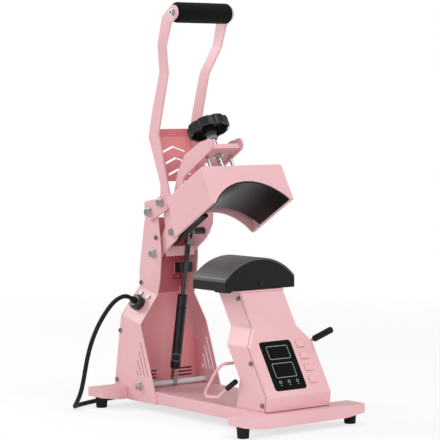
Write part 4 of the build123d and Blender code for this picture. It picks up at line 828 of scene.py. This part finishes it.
displayFrames = {"line": 0.0005, "corner": 0.0022, "flat": 0.12, "face": 0.00042,
                 "frames": [(-0.0136, 0.0238, 0.0448, 0.0234), (-0.0144, -0.0088, 0.0439, 0.0257)],
                 "marks": (-0.0316, -0.0130, 0.0050), "markLevel": -0.0300, "markRadius": 0.0024,
                 "markSides": 16, "dashLevel": -0.0358, "dashWidth": 0.0030}


def makeDisplayFrames(display):
    tree = lineTree("grey_print")
    sizes = {"Radius": display["line"], "Corner": display["corner"], "Flat": display["flat"]}
    square = {**sizes, "Corner": 0.0}
    lift = faceFrame @ Matrix.Translation((0, 0, display["face"]))
    loops = []
    for x, level, width, height in display["frames"]:
        loops.append([(x + side * width / 2, level + rise * height / 2, 0)
                      for side, rise in ((-1, -1), (1, -1), (1, 1), (-1, 1))])
    for index, loop in enumerate(loops):
        mesh = grown(tree, sizes, start=polyline("frame", loop, closed=True), place=lift)
        addPiece("display_frame_%d" % (index + 1), mesh, "frame", "black_window")
    for index, x in enumerate(display["marks"]):
        ringPoints = []
        for step in range(display["markSides"]):
            angle = 2 * pi * step / display["markSides"]
            ringPoints.append((x + display["markRadius"] * cos(angle),
                               display["markLevel"] + display["markRadius"] * sin(angle), 0))
        mesh = grown(tree, square, start=polyline("mark", ringPoints, closed=True), place=lift)
        addPiece("display_mark_%d" % (index + 1), mesh, "frame", "black_window")
        dash = [(x + side * display["dashWidth"] / 2, display["dashLevel"], 0) for side in (-1, 1)]
        mesh = grown(tree, square, start=polyline("dash", dash), place=lift)
        addPiece("display_dash_%d" % (index + 1), mesh, "frame", "black_window")


makePanelSeamShadow(panelSeamShadow)
makeDisplayFrames(displayFrames)
print("seams and display")

# foam grip

foamGrip = {"length": 0.117, "radius": 0.01825, "bore": 0.011, "round": 0.0055, "centre": (0, 0.055, 0.707),
            "around": 64, "along": 46, "cornerSteps": 6,
            "lump": 0.00022, "lumpScale": 70.0, "lumpMiddle": 0.6}


def gripProfile(grip):
    # (along, radius) from one bore edge over the outside to the other
    half, roundness = grip["length"] / 2, grip["round"]
    points = [(-half, grip["bore"])]
    for step in range(grip["cornerSteps"], -1, -1):
        angle = pi / 2 * step / grip["cornerSteps"]
        points.append((-half + roundness * (1 - sin(angle)), grip["radius"] - roundness * (1 - cos(angle))))
    nearEnd = list(points)
    run = grip["length"] - 2 * roundness
    for step in range(1, grip["along"]):
        points.append((-half + roundness + run * step / grip["along"], grip["radius"]))
    points += [(-along, radius) for along, radius in reversed(nearEnd)]
    return points


def foamShape(work):
    grip = foamGrip
    rows = []
    for along, radius in gripProfile(grip):
        row = []
        for step in range(grip["around"]):
            angle = 2 * pi * step / grip["around"]
            place = Vector((along, radius * cos(angle), radius * sin(angle)))
            outside = max(0.0, (radius - grip["bore"]) / (grip["radius"] - grip["bore"]))
            lump = grip["lump"] * outside * (noise.noise(place * grip["lumpScale"]) - grip["lumpMiddle"])
            place = Vector((along, (radius + lump) * cos(angle), (radius + lump) * sin(angle)))
            row.append(work.verts.new(place + Vector(grip["centre"])))
        rows.append(row)
    rows.append(rows[0])
    for row, following in zip(rows, rows[1:]):
        for step in range(grip["around"]):
            turn = (step + 1) % grip["around"]
            work.faces.new((row[step], row[turn], following[turn], following[step]))


gripPiece = addPiece("foam_grip_finish", meshFrom(foamShape, "foam_grip_finish"), "handle", "black_foam")
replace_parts(gripPiece, "foam_grip")
print("foam grip")

# bare oval place on the gas strut

ovalPlace = {"middle": 0.0485, "radius": 0.00928, "facing": 232.5, "halfTurn": 62.0, "halfHeight": 0.0075,
             "line": 0.11, "steps": 48, "sunk": 0.0001, "proud": 0.00006}


def ovalShape(work):
    oval = ovalPlace
    inner, proud = 1.0 - oval["line"], oval["proud"]
    rows = []
    for size, lift in ((1.0, 0.0), (1.0, proud), (inner, proud), (inner, 0.0)):
        row = []
        for step in range(oval["steps"]):
            around = 2 * pi * step / oval["steps"]
            angle = radians(oval["facing"] + size * oval["halfTurn"] * cos(around))
            reach = oval["radius"] - oval["sunk"] + 2 * lift
            level = oval["middle"] + size * oval["halfHeight"] * sin(around)
            row.append(work.verts.new(strutFrame @ Vector((reach * cos(angle), reach * sin(angle), level))))
        rows.append(row)
    rows.append(rows[0])
    for row, following in zip(rows, rows[1:]):
        for step in range(oval["steps"]):
            turn = (step + 1) % oval["steps"]
            work.faces.new((row[step], row[turn], following[turn], following[step]))


ovalMesh = meshFrom(ovalShape, "strut_oval_line")
addPiece("strut_oval_line", ovalMesh, "strut_body", "black_enamel", "grey_print")
print("strut")
